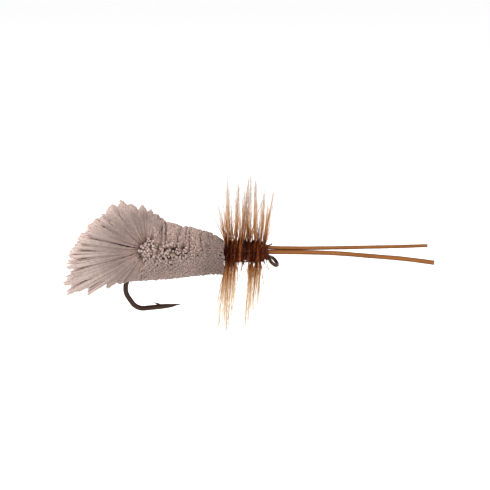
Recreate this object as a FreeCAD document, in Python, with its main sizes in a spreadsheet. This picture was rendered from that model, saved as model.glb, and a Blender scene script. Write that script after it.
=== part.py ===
import FreeCAD, Part
import Sketcher
import math
import os

# Dry fly with a spun and clipped hair body, a flared rear fan of hair, a wound
# hackle collar and two stripped-quill antennae, on a down-eye barbed hook.
#
# Frame: millimetres, +Z up, +X forward (towards the eye and the antennae), +Y
# to the fly's left. The origin is the centre of the hook eye. The shank runs
# along X at the height shank_z.

os.makedirs("parts", exist_ok=True)
V = FreeCAD.Vector
doc = FreeCAD.newDocument("dry_fly")

# ---------------------------------------------------------------- dimensions
# every driving dimension is one cell; comments say what it is
D = [
    # hook
    ("shank_z", 0.99),        # height of the shank axis above the eye centre
    ("wire_r", 0.25),         # hook wire radius
    ("neck_x", -1.25),        # where the shank starts to turn down to the eye
    ("neck_bend", 0.60),      # radius of that turn
    ("neck_angle", 45.0),     # how far the eye is turned down
    ("eye_ring_r", 0.57),     # centre-line radius of the eye
    ("eye_wire_r", 0.165),    # radius of the tapered wire in the eye
    ("eye_hole_r", 0.44),     # radius of the hole's short round land
    ("eye_twist", 12.0),      # how far the ring is twisted about the neck
    ("shank_end", -11.30),    # where the shank starts to curve into the bend
    ("bend_r1", 3.00),        # upper curve
    ("bend_turn1", 56.0),
    ("bend_run1", 1.84),
    ("bend_r2", 1.60),        # curve into the straight-down run
    ("bend_run2", 0.12),
    ("bend_r3", 1.50),        # curve out of it
    ("bend_turn3", 35.0),
    ("bend_run3", 0.69),
    ("bend_r4", 1.35),        # tight curve under the throat
    ("bend_turn4", 60.9),
    ("spear_run", 1.70),      # untapered wire after the throat
    ("tip_r", 0.015),
    ("barb_root_r", 0.10),
    ("barb_tip_r", 0.012),
    # thread
    ("gap", 0.01),            # clearance between nested bound pieces
    ("bed_r", 0.30),          # thread bed on the shank, outer radius
    ("bed_rear", -11.25),
    ("bed_front", -5.12),
    ("band_r", 0.42),         # binding wraps of one hair bundle, outer radius
    ("band_half", 0.25),      # half their width
    ("band_edge", 0.34),      # radius of their rounded shoulder
    ("band_shoulder", 0.17),
    ("band1_ring", 0.355),    # rearmost binding, a ring on the curve of the hook
    ("band1_wire", 0.085),
    # head
    ("head_rear", -5.00),
    ("head_front", -1.15),
    ("head_r_rear", 0.85),
    ("head_r_front", 0.76),
    ("whip_front", -0.62),
    ("whip_r_front", 0.73),
    ("quill_r", 0.13),        # radius of the wound hackle stems
    ("quill_pitch", 0.30),
    ("quill_turns", 5.75),
    # antennae
    ("ant_up_r", 0.19), ("ant_up_tip_r", 0.15),
    ("ant_lo_r", 0.215), ("ant_lo_tip_r", 0.20),
    ("ant_root_x", -0.36),
    ("ant_up_y", 0.05), ("ant_up_z", 1.395),
    ("ant_lo_y", -0.15), ("ant_lo_z", 0.975),
    ("butt_rear", -4.60), ("butt_front", -0.64),
    ("butt_up_z", 1.48), ("butt_lo_y", -0.50),
    # barbs of the hackle
    ("barb_in", 1.16), ("barb_base_r", 0.07), ("barb_end_r", 0.03),
    # trimmed tip of the front feather
    ("stub_r", 0.07), ("stub_end_r", 0.05),
]
sheet = doc.addObject("Spreadsheet::Sheet", "Dims")
val = {}


def cell(name, value):
    val[name] = float(value)
    row = len(val)
    sheet.set("A%d" % row, name)
    sheet.set("B%d" % row, repr(round(float(value), 6)))
    sheet.setAlias("B%d" % row, name)
    return name


for name, value in D:
    cell(name, value)

# half-height, half-width and middle height of the hair body, station by
# station from the front. Neighbouring bundles share a station.
stations = [
    # name, x, top z, bottom z, half width
    ("st_front", -5.08, 2.30, -1.38, 1.95),
    ("st_a", -5.75, 2.74, -1.33, 2.15),
    ("st_b", -6.50, 3.10, -1.34, 2.32),
    ("st_c", -7.90, 3.38, -1.40, 2.50),
    ("st_d", -9.10, 3.58, -1.45, 2.65),
    ("st_e", -10.40, 3.88, -1.58, 2.85),
    ("st_f", -12.00, 4.45, -1.62, 3.10),
    ("st_g", -13.20, 5.10, -1.80, 3.45),
    ("st_h", -14.60, 5.42, -2.05, 3.75),
    ("st_i", -16.10, 5.20, -2.20, 3.90),
    ("st_j", -17.50, 4.35, -2.50, 3.80),
    ("st_k", -18.70, 3.20, -2.72, 3.45),
    ("st_l", -19.80, 1.80, -2.80, 2.80),
    ("st_m", -20.90, -0.10, -2.60, 1.75),
]
for name, x, top, bottom, half in stations:
    cell(name + "_x", x)
    cell(name + "_mid", (top + bottom) / 2.0)
    cell(name + "_high", (top - bottom) / 2.0)
    cell(name + "_wide", half)
doc.recompute()


def E(obj, prop, expr):
    obj.setExpression(prop, expr)


def place(obj, pos, rot=None):
    obj.Placement = FreeCAD.Placement(V(*pos), rot or FreeCAD.Rotation())
    return obj


ALONG_X = FreeCAD.Rotation(V(0, 1, 0), 90)


def hide_into(kind, name, **props):
    o = doc.addObject(kind, name)
    for k, v in props.items():
        setattr(o, k, v)
    return o


# ---------------------------------------------------------------- sketch tools
def origin_plane(body, role):
    for f in body.Origin.OriginFeatures:
        if f.Role == role:
            return f
    raise ValueError(role)


def revolved(name, points):
    """A body of revolution about the shank axis. points are pairs of cell names, (x along the shank, radius)."""
    body = doc.addObject("PartDesign::Body", name)
    sk = body.newObject("Sketcher::SketchObject", name + "_profile")
    sk.AttachmentSupport = [(origin_plane(body, "XZ_Plane"), "")]
    sk.MapMode = "FlatFace"
    n = len(points)
    for i in range(n):
        a, b = points[i], points[(i + 1) % n]
        sk.addGeometry(Part.LineSegment(V(val[a[0]], val[a[1]], 0), V(val[b[0]], val[b[1]], 0)), False)
    for i in range(n):
        sk.addConstraint(Sketcher.Constraint("Coincident", i, 2, (i + 1) % n, 1))
    for i, (x, r) in enumerate(points):
        c = sk.addConstraint(Sketcher.Constraint("DistanceX", -1, 1, i, 1, val[x]))
        sk.setExpression("Constraints[%d]" % c, "Dims." + x)
        c = sk.addConstraint(Sketcher.Constraint("DistanceY", -1, 1, i, 1, val[r]))
        sk.setExpression("Constraints[%d]" % c, "Dims." + r)
    rev = body.newObject("PartDesign::Revolution", name + "_turned")
    rev.Profile = sk
    rev.ReferenceAxis = (sk, ["H_Axis"])
    rev.Angle = 360.0
    body.Tip = rev
    place(body, (0, 0, val["shank_z"]))
    E(body, "Placement.Base.z", "Dims.shank_z")
    return body


# ---------------------------------------------------------------- the hook wire
# The centre line in the XZ plane: shank, bend and the untapered spear, as
# straight runs joined by tangent arcs. u is along X and v along Z.
def arc_by_turn(p, heading, radius, turn):
    """An arc from p. heading and turn are in degrees; a positive turn is to the left of travel."""
    h = math.radians(heading)
    side = 1 if turn > 0 else -1
    c = (p[0] - side * radius * math.sin(h), p[1] + side * radius * math.cos(h))
    def at(deg):
        a = math.radians(heading + deg)
        return (c[0] + side * radius * math.sin(a), c[1] - side * radius * math.cos(a))
    return at(turn / 2.0), at(turn), heading + turn


def run(p, heading, length):
    h = math.radians(heading)
    return (p[0] + length * math.cos(h), p[1] + length * math.sin(h))


path = []  # ("line", p, q) or ("arc", p, mid, q)
sz = val["shank_z"]
na = val["neck_angle"]
# the turned-down neck, walked backwards from the eye end to the shank
neck_start = (val["neck_x"] + val["neck_bend"] * math.sin(math.radians(na)),
              sz - val["neck_bend"] * (1 - math.cos(math.radians(na))))
p = neck_start
heading = 180.0 - na
mid, q, heading = arc_by_turn(p, heading, val["neck_bend"], na)
path.append(("arc", p, mid, q)); p = q
q = (val["shank_end"], sz); path.append(("line", p, q)); p = q
mid, q, heading = arc_by_turn(p, heading, val["bend_r1"], val["bend_turn1"])
path.append(("arc", p, mid, q)); p = q
q = run(p, heading, val["bend_run1"]); path.append(("line", p, q)); p = q
turn2 = 90.0 - val["bend_turn1"]
mid, q, heading = arc_by_turn(p, heading, val["bend_r2"], turn2)
path.append(("arc", p, mid, q)); p = q
q = run(p, heading, val["bend_run2"]); path.append(("line", p, q)); p = q
mid, q, heading = arc_by_turn(p, heading, val["bend_r3"], val["bend_turn3"])
path.append(("arc", p, mid, q)); p = q
q = run(p, heading, val["bend_run3"]); path.append(("line", p, q)); p = q
mid, q, heading = arc_by_turn(p, heading, val["bend_r4"], val["bend_turn4"])
path.append(("arc", p, mid, q)); p = q
q = run(p, heading, val["spear_run"]); path.append(("line", p, q)); p = q
spear_start, spear_heading = p, heading
print("spear starts at", p, "heading", heading)

wire_sketch = doc.addObject("Sketcher::SketchObject", "hook_centre_line")
wire_sketch.Placement = FreeCAD.Placement(V(0, 0, 0), FreeCAD.Rotation(V(1, 0, 0), 90))
length = 0.0
for i, seg in enumerate(path):
    if seg[0] == "line":
        g = Part.LineSegment(V(seg[1][0], seg[1][1], 0), V(seg[2][0], seg[2][1], 0))
    else:
        g = Part.Arc(V(seg[1][0], seg[1][1], 0), V(seg[2][0], seg[2][1], 0), V(seg[3][0], seg[3][1], 0))
    length += g.length()
    wire_sketch.addGeometry(g, False)
doc.recompute()
edges = ["Edge%d" % (i + 1) for i in range(len(wire_sketch.Shape.Edges))]
na_r = math.radians(na)
down = V(math.cos(na_r), 0, -math.sin(na_r))      # from the neck to the eye


def wire_sweep(name, radius_expr):
    c = doc.addObject("Part::Circle", name + "_section")
    E(c, "Radius", radius_expr)
    c.Placement = FreeCAD.Placement(V(neck_start[0], 0, neck_start[1]), FreeCAD.Rotation(V(0, 0, 1), -down))
    s = doc.addObject("Part::Sweep", name)
    s.Sections = [c]
    s.Spine = (wire_sketch, edges)
    s.Solid = True
    s.Frenet = False
    s.Transition = "Round corner"
    return s


wire = wire_sweep("hook_wire", "Dims.wire_r")
room = wire_sweep("hook_room", "Dims.wire_r + Dims.gap")
doc.recompute()
want = length * math.pi * val["wire_r"] ** 2
print("hook wire volume", wire.Shape.Volume, "section times length", want)
assert abs(wire.Shape.Volume - want) < 0.01 * want


def loft(name, sections, ruled=True):
    l = doc.addObject("Part::Loft", name)
    l.Sections = sections
    l.Solid = True
    l.Ruled = ruled
    return l


def circle(name, centre, direction, radius, expr=None):
    c = doc.addObject("Part::Circle", name)
    c.Radius = radius
    if expr:
        E(c, "Radius", expr)
    c.Placement = FreeCAD.Placement(V(*centre), FreeCAD.Rotation(V(0, 0, 1), V(*direction)))
    return c


def cone(name, a, b, ra, rb, ea=None, eb=None):
    """A tapered round piece from a to b."""
    a, b = V(*a), V(*b)
    c = doc.addObject("Part::Cone", name)
    c.Radius1, c.Radius2, c.Height = ra, rb, (b - a).Length
    if ea:
        E(c, "Radius1", ea)
    if eb:
        E(c, "Radius2", eb)
    c.Placement = FreeCAD.Placement(a, FreeCAD.Rotation(V(0, 0, 1), b - a))
    return c


# neck between the shank and the ring, tapered like the wire of the eye
ring_join = V(0, 0, 0) - down * val["eye_ring_r"]
neck_from = V(neck_start[0], 0, neck_start[1]) - down * 0.05
neck = cone("hook_neck", tuple(neck_from), ring_join, val["wire_r"] - 0.012, val["eye_wire_r"] - 0.008, "Dims.wire_r - 0.012", "Dims.eye_wire_r - 0.008")
# the ring, its hole's axis turned down with the neck and a little twisted
tw = math.radians(val["eye_twist"])
ring_axis = V(math.cos(tw) * math.sin(na_r), -math.sin(tw), math.cos(tw) * math.cos(na_r))
print("eye axis", ring_axis)
ring = doc.addObject("Part::Torus", "hook_ring")
E(ring, "Radius1", "Dims.eye_ring_r")
E(ring, "Radius2", "Dims.eye_wire_r")
place(ring, (0, 0, 0), FreeCAD.Rotation(V(0, 0, 1), ring_axis))
land = doc.addObject("Part::Cylinder", "hook_eye_land")
E(land, "Radius", "Dims.eye_hole_r")
land.Height = 1.2
place(land, tuple(-ring_axis * 0.6), FreeCAD.Rotation(V(0, 0, 1), ring_axis))
# the spear: a needle point ground mostly from below, and the barb raised from it
hd = math.radians(spear_heading)
along = (math.cos(hd), 0, math.sin(hd))
sp = spear_start
tip = (-9.36, -4.44)
spear = loft("hook_spear", [
    circle("spear_a", (sp[0], 0, sp[1]), along, val["wire_r"], "Dims.wire_r"),
    circle("spear_b", (sp[0] + 0.55, 0, sp[1] + 0.055), along, 0.215, "Dims.wire_r * 0.90"),
    circle("spear_c", (sp[0] + 1.10, 0, sp[1] + 0.105), along, 0.165, "Dims.wire_r * 0.69"),
    circle("spear_d", (-9.85, 0, -4.475), along, 0.085, "Dims.wire_r * 0.35"),
    circle("spear_e", (tip[0], 0, tip[1]), along, val["tip_r"], "Dims.tip_r"),
])
barb = cone("hook_barb", (-11.62, 0, -4.49), (-12.29, 0, -4.255), val["barb_root_r"], val["barb_tip_r"], "Dims.barb_root_r", "Dims.barb_tip_r")
hook_all = doc.addObject("Part::MultiFuse", "hook_whole")
hook_all.Shapes = [wire, neck, ring, spear, barb]
hook = doc.addObject("Part::Cut", "hook_node")
hook.Base, hook.Tool = hook_all, land
hook.Label = "hook"
nodes = [("hook", hook)]


# ---------------------------------------------------------------- thread on the shank
def tube(name, x0, x1, r_in, r_out):
    """A plain sleeve on the shank, all four arguments cell names."""
    return revolved(name, [(x0, r_in), (x1, r_in), (x1, r_out), (x0, r_out)])


cell("sleeve_in", val["wire_r"] + val["gap"])
cell("band_in", val["bed_r"] + val["gap"])
doc.recompute()
bed = tube("rear_thread_base", "bed_rear", "bed_front", "sleeve_in", "bed_r")
nodes.append(("rear_thread_base", bed))

bands = {2: -10.95, 3: -9.75, 4: -8.50, 5: -7.20, 6: -5.80}
# the first binding sits where the wire has begun to curve down
t1 = math.radians(19.5)
b1 = (val["shank_end"] - val["bend_r1"] * math.sin(t1), 0, sz - val["bend_r1"] * (1 - math.cos(t1)))
band1 = doc.addObject("Part::Torus", "thread_band_1")
E(band1, "Radius1", "Dims.band1_ring")
E(band1, "Radius2", "Dims.band1_wire")
place(band1, b1, FreeCAD.Rotation(V(0, 0, 1), V(-math.cos(t1), 0, -math.sin(t1))))
nodes.append(("thread_band_1", band1))
for k, x in bands.items():
    for tag, dx in (("a", -val["band_half"]), ("b", -val["band_shoulder"]), ("c", val["band_shoulder"]), ("d", val["band_half"])):
        cell("band%d_%s" % (k, tag), x + dx)
doc.recompute()
for k in bands:
    n = "band%d_" % k
    b = revolved("thread_band_%d" % k, [
        (n + "a", "band_in"), (n + "d", "band_in"), (n + "d", "band_edge"),
        (n + "c", "band_r"), (n + "b", "band_r"), (n + "a", "band_edge")])
    nodes.append(("thread_band_%d" % k, b))


# ---------------------------------------------------------------- spun hair
def ellipse(name, station):
    """One upright section of the clipped hair, its axes bound to the station's cells."""
    e = doc.addObject("Part::Ellipse", name)
    high, wide = val[station + "_high"], val[station + "_wide"]
    if wide >= high:
        rot = FreeCAD.Rotation(V(0, 1, 0), V(0, 0, 1), V(1, 0, 0), "ZXY")
        E(e, "MajorRadius", "Dims.%s_wide" % station)
        E(e, "MinorRadius", "Dims.%s_high" % station)
    else:
        rot = FreeCAD.Rotation(V(0, 0, 1), V(0, -1, 0), V(1, 0, 0), "ZXY")
        E(e, "MajorRadius", "Dims.%s_high" % station)
        E(e, "MinorRadius", "Dims.%s_wide" % station)
    e.MajorRadius, e.MinorRadius = max(high, wide), min(high, wide)
    e.Placement = FreeCAD.Placement(V(val[station + "_x"], 0, val[station + "_mid"]), rot)
    E(e, "Placement.Base.x", "Dims.%s_x" % station)
    E(e, "Placement.Base.z", "Dims.%s_mid" % station)
    return e


def bore(name, x0, x1, r, expr):
    c = doc.addObject("Part::Cylinder", name)
    c.Radius = r
    E(c, "Radius", expr)
    c.Height = x1 - x0
    place(c, (x0, 0, sz), ALONG_X)
    E(c, "Placement.Base.z", "Dims.shank_z")
    return c


def bundle(name, names, tools):
    body = loft(name + "_outside", [ellipse("%s_%s" % (name, s), s) for s in names])
    cutter = doc.addObject("Part::MultiFuse", name + "_bore")
    cutter.Shapes = tools
    c = doc.addObject("Part::Cut", name + "_node")
    c.Base, c.Tool = body, cutter
    c.Label = name
    nodes.append((name, c))
    return c


layout = [
    ("hair_bundle_2", ["st_f", "st_e"], 2),
    ("hair_bundle_3", ["st_e", "st_d"], 3),
    ("hair_bundle_4", ["st_d", "st_c"], 4),
    ("hair_bundle_5", ["st_c", "st_b"], 5),
    ("hair_bundle_6", ["st_b", "st_a", "st_front"], 6),
]
# the rear bundle opens into the fan
r1 = doc.addObject("Part::Torus", "fan_band_room")
E(r1, "Radius1", "Dims.band1_ring")
E(r1, "Radius2", "Dims.band1_wire + Dims.gap * 2.5")
place(r1, b1, FreeCAD.Rotation(V(0, 0, 1), V(-math.cos(t1), 0, -math.sin(t1))))
fan_room = wire_sweep("fan_hook_room", "Dims.wire_r + Dims.gap")
bundle("rear_hair_fan", ["st_f", "st_g", "st_h", "st_i", "st_j", "st_k", "st_l", "st_m"], [fan_room, r1])
for name, names, k in layout:
    x0, x1 = val[names[0] + "_x"], val[names[-1] + "_x"]
    tools = [
        bore(name + "_bed", max(x0 - 0.2, val["bed_rear"] - 0.01) , x1 + 0.2, val["bed_r"] + val["gap"], "Dims.bed_r + Dims.gap"),
        bore(name + "_band", bands[k] - val["band_half"] - 0.01, bands[k] + val["band_half"] + 0.01, val["band_r"] + val["gap"], "Dims.band_r + Dims.gap"),
    ]
    if k == 2:
        tools.append(room)
    bundle(name, names, tools)

# ---------------------------------------------------------------- head
# antenna butts, lashed along the top and the near side of the shank
butt_up = cone("butt_up", (val["butt_rear"], 0, val["butt_up_z"]), (val["butt_front"], 0, val["butt_up_z"]), val["ant_up_r"], val["ant_up_r"] - 0.005, "Dims.ant_up_r", "Dims.ant_up_r - 0.005")
butt_lo = cone("butt_lo", (val["butt_rear"], val["butt_lo_y"], sz), (val["butt_front"], val["butt_lo_y"], sz), val["ant_lo_r"], val["ant_lo_r"] - 0.005, "Dims.ant_lo_r", "Dims.ant_lo_r - 0.005")
butts = doc.addObject("Part::Compound", "antenna_butts_node")
butts.Links = [butt_up, butt_lo]
butts.Label = "antenna_butts"
nodes.append(("antenna_butts", butts))


def butt_rooms(tag):
    up = doc.addObject("Part::Cylinder", "room_up_" + tag)
    E(up, "Radius", "Dims.ant_up_r + Dims.gap")
    up.Height = 5.0
    place(up, (val["butt_rear"] - 0.01, 0, val["butt_up_z"]), ALONG_X)
    lo = doc.addObject("Part::Cylinder", "room_lo_" + tag)
    E(lo, "Radius", "Dims.ant_lo_r + Dims.gap")
    lo.Height = 5.0
    place(lo, (val["butt_rear"] - 0.01, val["butt_lo_y"], sz), ALONG_X)
    return [up, lo]


def wrapped(name, x0, x1, ra, rb, ea, eb, tag):
    """A tapered thread wrap around the shank and the antenna butts."""
    c = cone(name + "_outside", (x0, 0, sz), (x1, 0, sz), ra, rb, ea, eb)
    r = wire_sweep(name + "_shank_room", "Dims.wire_r + Dims.gap")
    cutter = doc.addObject("Part::MultiFuse", name + "_rooms")
    turned = cone(name + "_neck_room", tuple(neck_from), ring_join, val["wire_r"] - 0.012 + val["gap"], val["eye_wire_r"] - 0.008 + val["gap"], "Dims.wire_r - 0.012 + Dims.gap", "Dims.eye_wire_r - 0.008 + Dims.gap")
    cutter.Shapes = [r, turned] + butt_rooms(tag)
    cut = doc.addObject("Part::Cut", name + "_node")
    cut.Base, cut.Tool = c, cutter
    cut.Label = name
    nodes.append((name, cut))
    return cut


wrapped("head_thread_base", val["head_rear"], val["head_front"], val["head_r_rear"], val["head_r_front"], "Dims.head_r_rear", "Dims.head_r_front", "base")
wrapped("whip_finish", val["head_front"] + 0.01, val["whip_front"], val["head_r_front"], val["whip_r_front"], "Dims.head_r_front", "Dims.whip_r_front", "whip")


# the two wound feather stems: left-handed spirals that climb towards the eye
taper = (val["head_r_rear"] - val["head_r_front"]) / (val["head_front"] - val["head_rear"])


def head_radius(x):
    return val["head_r_rear"] - taper * (x - val["head_rear"])


def wound_quill(name, x0):
    hx = doc.addObject("Part::Helix", name + "_line")
    E(hx, "Pitch", "Dims.quill_pitch")
    E(hx, "Height", "Dims.quill_pitch * Dims.quill_turns")
    hx.Pitch, hx.Height = val["quill_pitch"], val["quill_pitch"] * val["quill_turns"]
    start = head_radius(x0) + val["quill_r"] + 0.02
    hx.Radius = start
    hx.Angle = -math.degrees(math.atan(taper))
    hx.LocalCoord = "Left-handed"
    place(hx, (x0, 0, sz), ALONG_X)
    doc.recompute()
    e = hx.Shape.Edges[0]
    p0, d0 = e.valueAt(e.FirstParameter), e.tangentAt(e.FirstParameter)
    sec = circle(name + "_section", tuple(p0), tuple(d0), val["quill_r"], "Dims.quill_r")
    s = doc.addObject("Part::Sweep", name + "_node")
    s.Sections = [sec]
    s.Spine = (hx, ["Edge1"])
    s.Solid = True
    s.Frenet = True
    s.Label = name
    doc.recompute()
    print(name, "volume", s.Shape.Volume, "section times length", e.Length * math.pi * val["quill_r"] ** 2)
    nodes.append((name, s))
    return s


wound_quill("hackle_quill_rear", -4.82)
wound_quill("hackle_quill_front", -2.76)


# barbs: stiff tapered fibres that stand out from the stems all round, the rear
# feather's leaning back and the front feather's leaning a little forward. A
# barb that would cross the line of the leader, which leaves the eye downwards
# and back, is turned aside.
def leader_gap(a, b):
    """The least distance between a barb and the first stretch of the leader."""
    least = 99.0
    for i in range(41):
        q = -ring_axis * (2.3 * i / 40.0)
        t = max(0.0, min(1.0, (q - a).dot(b - a) / (b - a).Length ** 2))
        least = min(least, (q - a - (b - a) * t).Length)
    return least


def barbs(name, count, x_from, x_to, lean_from, lean_to, reach_from, reach_to, seed):
    made = []
    golden = 137.50776
    for i in range(count):
        f = (i + 0.5) / count
        ang = math.radians((seed + golden * i) % 360.0)
        wob = math.sin(12.9898 * (i + seed)) * 43758.5453
        wob = wob - math.floor(wob)
        lean = math.radians(lean_from + (lean_to - lean_from) * f + 5.0 * (wob - 0.5))
        reach = reach_from + (reach_to - reach_from) * f + 0.9 * (wob - 0.5)
        x = x_from + (x_to - x_from) * f
        r0 = head_radius(x) + 2 * val["quill_r"] + 0.06
        for step in (0, 9, -9, 18, -18, 27, -27):
            turned = ang + math.radians(step)
            out = V(0, math.sin(turned), math.cos(turned))
            a = V(x, 0, sz) + out * r0
            b = V(x, 0, sz) + out * (r0 + reach * math.cos(lean)) + V(reach * math.sin(lean), 0, 0)
            if leader_gap(a, b) > 0.42:
                break
        made.append(cone("%s_%02d" % (name, i), tuple(a), tuple(b), val["barb_base_r"], val["barb_end_r"], "Dims.barb_base_r", "Dims.barb_end_r"))
    g = doc.addObject("Part::Compound", name + "_node")
    g.Links = made
    g.Label = name
    nodes.append((name, g))


barbs("hackle_barbs_rear", 28, -4.80, -3.20, -13.0, 3.0, 7.2, 6.7, 11.0)
barbs("hackle_barbs_front", 24, -2.90, -1.25, -4.0, 8.0, 6.8, 6.2, 47.0)

# the cut tip of the front feather, a short dark stub over the head
stub = cone("hackle_tip_stub_node", (-0.66, -0.52, 1.62), (-0.13, -0.60, 1.84), val["stub_r"], val["stub_end_r"], "Dims.stub_r", "Dims.stub_end_r")
stub.Label = "hackle_tip_stub"
nodes.append(("hackle_tip_stub", stub))


# ---------------------------------------------------------------- antennae
# stripped feather stems. Each starts in a ball at the tie-in, which is where it
# flexes, and tapers to a blunt cut end. The lower one droops.
def antenna(name, y, line, r_root, r_tip, e_root, e_tip):
    pts = [V(x, y + dy, z) for x, dy, z in line]
    n = len(pts)
    secs = []
    total = pts[-1].x - pts[0].x
    for i, q in enumerate(pts):
        if i == 0:
            d = pts[1] - pts[0]
        elif i == n - 1:
            d = pts[-1] - pts[-2]
        else:
            d = (pts[i + 1] - pts[i]).normalize() + (pts[i] - pts[i - 1]).normalize()
        f = (q.x - pts[0].x) / total
        secs.append(circle("%s_s%d" % (name, i), tuple(q), tuple(d), r_root + (r_tip - r_root) * f,
                           "%s + (%s - %s) * %.5f" % (e_root, e_tip, e_root, f)))
    l = loft(name + "_stem", secs)
    ball = doc.addObject("Part::Sphere", name + "_root")
    ball.Radius = r_root
    E(ball, "Radius", e_root)
    place(ball, tuple(pts[0]))
    f = doc.addObject("Part::MultiFuse", name + "_node")
    f.Shapes = [l, ball]
    f.Label = name
    nodes.append((name, f))


rx = val["ant_root_x"]
antenna("antenna_upper", val["ant_up_y"],
        [(rx, 0, val["ant_up_z"]), (3.0, 0.02, 1.40), (6.2, 0.06, 1.41), (9.3, 0.12, 1.46), (12.4, 0.20, 1.54), (15.73, 0.30, 1.63)],
        val["ant_up_r"], val["ant_up_tip_r"], "Dims.ant_up_r", "Dims.ant_up_tip_r")
antenna("antenna_lower", val["ant_lo_y"],
        [(rx, 0, val["ant_lo_z"]), (3.0, -0.03, 0.935), (6.2, -0.06, 0.86), (9.3, -0.12, 0.70), (11.7, -0.18, 0.50), (13.6, -0.24, 0.29), (15.3, -0.30, 0.07), (16.38, -0.34, -0.09)],
        val["ant_lo_r"], val["ant_lo_tip_r"], "Dims.ant_lo_r", "Dims.ant_lo_tip_r")

# ---------------------------------------------------------------- check and write
doc.recompute()
bad = []
for o in doc.Objects:
    if any(s in o.State for s in ("Invalid", "Error")):
        bad.append((o.Name, o.State))
for name, o in nodes:
    if o.Shape.isNull() or not o.Shape.isValid() or not o.Shape.Solids:
        bad.append((name, "shape"))
if bad:
    raise RuntimeError("failed objects: %s" % bad)
for name, o in nodes:
    b = o.Shape.BoundBox
    print("%-20s solids %2d volume %9.4f  x %.2f %.2f  y %.2f %.2f  z %.2f %.2f" % (
        name, len(o.Shape.Solids), o.Shape.Volume, b.XMin, b.XMax, b.YMin, b.YMax, b.ZMin, b.ZMax))
    o.Shape.exportStep("parts/%s.step" % name)
print("nodes", len(nodes))
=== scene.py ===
import math
import bpy
import numpy as np
from mathutils import Vector, Matrix


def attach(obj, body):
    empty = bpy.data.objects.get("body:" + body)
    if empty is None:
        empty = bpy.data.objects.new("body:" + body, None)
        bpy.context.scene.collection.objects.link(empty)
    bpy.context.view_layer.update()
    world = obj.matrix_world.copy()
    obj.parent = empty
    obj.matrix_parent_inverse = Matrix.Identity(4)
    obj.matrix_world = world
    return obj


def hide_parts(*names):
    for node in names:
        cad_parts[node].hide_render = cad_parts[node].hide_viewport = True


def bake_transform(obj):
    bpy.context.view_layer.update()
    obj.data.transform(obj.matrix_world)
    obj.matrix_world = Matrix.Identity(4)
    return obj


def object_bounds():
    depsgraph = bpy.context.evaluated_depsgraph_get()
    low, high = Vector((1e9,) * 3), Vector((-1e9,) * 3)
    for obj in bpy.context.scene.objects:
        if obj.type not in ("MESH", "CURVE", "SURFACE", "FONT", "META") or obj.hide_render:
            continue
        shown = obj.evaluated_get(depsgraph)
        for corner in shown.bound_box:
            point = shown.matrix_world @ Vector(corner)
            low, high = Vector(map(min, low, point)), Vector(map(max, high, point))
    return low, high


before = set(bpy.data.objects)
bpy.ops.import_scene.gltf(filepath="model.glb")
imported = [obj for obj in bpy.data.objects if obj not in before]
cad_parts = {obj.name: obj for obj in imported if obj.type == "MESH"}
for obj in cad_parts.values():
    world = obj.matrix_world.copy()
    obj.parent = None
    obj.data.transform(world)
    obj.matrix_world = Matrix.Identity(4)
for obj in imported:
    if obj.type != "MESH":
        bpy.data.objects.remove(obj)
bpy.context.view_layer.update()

MM = 0.001
FLY = "fly"
SHANK_Z = 0.99          # mm, height of the shank axis above the eye centre


# ------------------------------------------------------------------ camera
# side-on and a little above, from far enough to look almost flat
ELEV = math.radians(8.0)
DIST = 0.26
WIDTH = 0.04998                       # what the frame's width covers, in metres
cam_data = bpy.data.cameras.new("camera")
cam = bpy.data.objects.new("camera", cam_data)
bpy.context.scene.collection.objects.link(cam)
target = Vector((-2.887, 0.0, 1.652 / math.cos(ELEV))) * MM
cam.location = target + Vector((0.0, -math.cos(ELEV), math.sin(ELEV))) * DIST
cam.rotation_euler = (math.radians(90.0) - ELEV, 0.0, 0.0)
cam_data.sensor_width = 36.0
cam_data.lens = 36.0 * DIST / WIDTH
cam_data.clip_start = 0.01
cam_data.clip_end = 20.0
bpy.context.scene.camera = cam
bpy.context.scene.view_settings.view_transform = "Standard"
bpy.context.scene.view_settings.look = "None"


# ------------------------------------------------------------------ helpers
def lin(r, g, b):
    """sRGB 0-255 to linear."""
    c = np.array([r, g, b], float) / 255.0
    return np.where(c <= 0.04045, c / 12.92, ((c + 0.055) / 1.055) ** 2.4)


def rng(seed):
    return np.random.default_rng(seed)


def mesh_object(name, verts, faces4, faces3, col, along=None, smooth=True, mats=(), mat_index=None):
    """A mesh from arrays. verts in mm; col is a linear colour per vertex; along is a number per vertex."""
    verts = np.asarray(verts, np.float32) * MM
    f4 = np.asarray(faces4, np.int32).reshape(-1, 4)
    f3 = np.asarray(faces3, np.int32).reshape(-1, 3)
    me = bpy.data.meshes.new(name)
    me.vertices.add(len(verts))
    me.vertices.foreach_set("co", verts.ravel())
    loops = np.concatenate([f4.ravel(), f3.ravel()])
    me.loops.add(len(loops))
    me.loops.foreach_set("vertex_index", loops)
    n4, n3 = len(f4), len(f3)
    me.polygons.add(n4 + n3)
    starts = np.concatenate([np.arange(n4) * 4, n4 * 4 + np.arange(n3) * 3]).astype(np.int32)
    me.polygons.foreach_set("loop_start", starts)
    me.polygons.foreach_set("use_smooth", np.full(n4 + n3, smooth))
    if mat_index is not None:
        me.polygons.foreach_set("material_index", np.asarray(mat_index, np.int32))
    me.update(calc_edges=True)
    me.validate()
    a = me.attributes.new("tint", "FLOAT_COLOR", "POINT")
    rgba = np.ones((len(verts), 4), np.float32)
    rgba[:, :3] = col
    a.data.foreach_set("color", rgba.ravel())
    if along is not None:
        b = me.attributes.new("along", "FLOAT", "POINT")
        b.data.foreach_set("value", np.asarray(along, np.float32))
    for m in mats:
        me.materials.append(m)
    ob = bpy.data.objects.new(name, me)
    bpy.context.scene.collection.objects.link(ob)
    return ob


def unit(v):
    return v / np.maximum(np.linalg.norm(v, axis=-1, keepdims=True), 1e-12)


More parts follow.
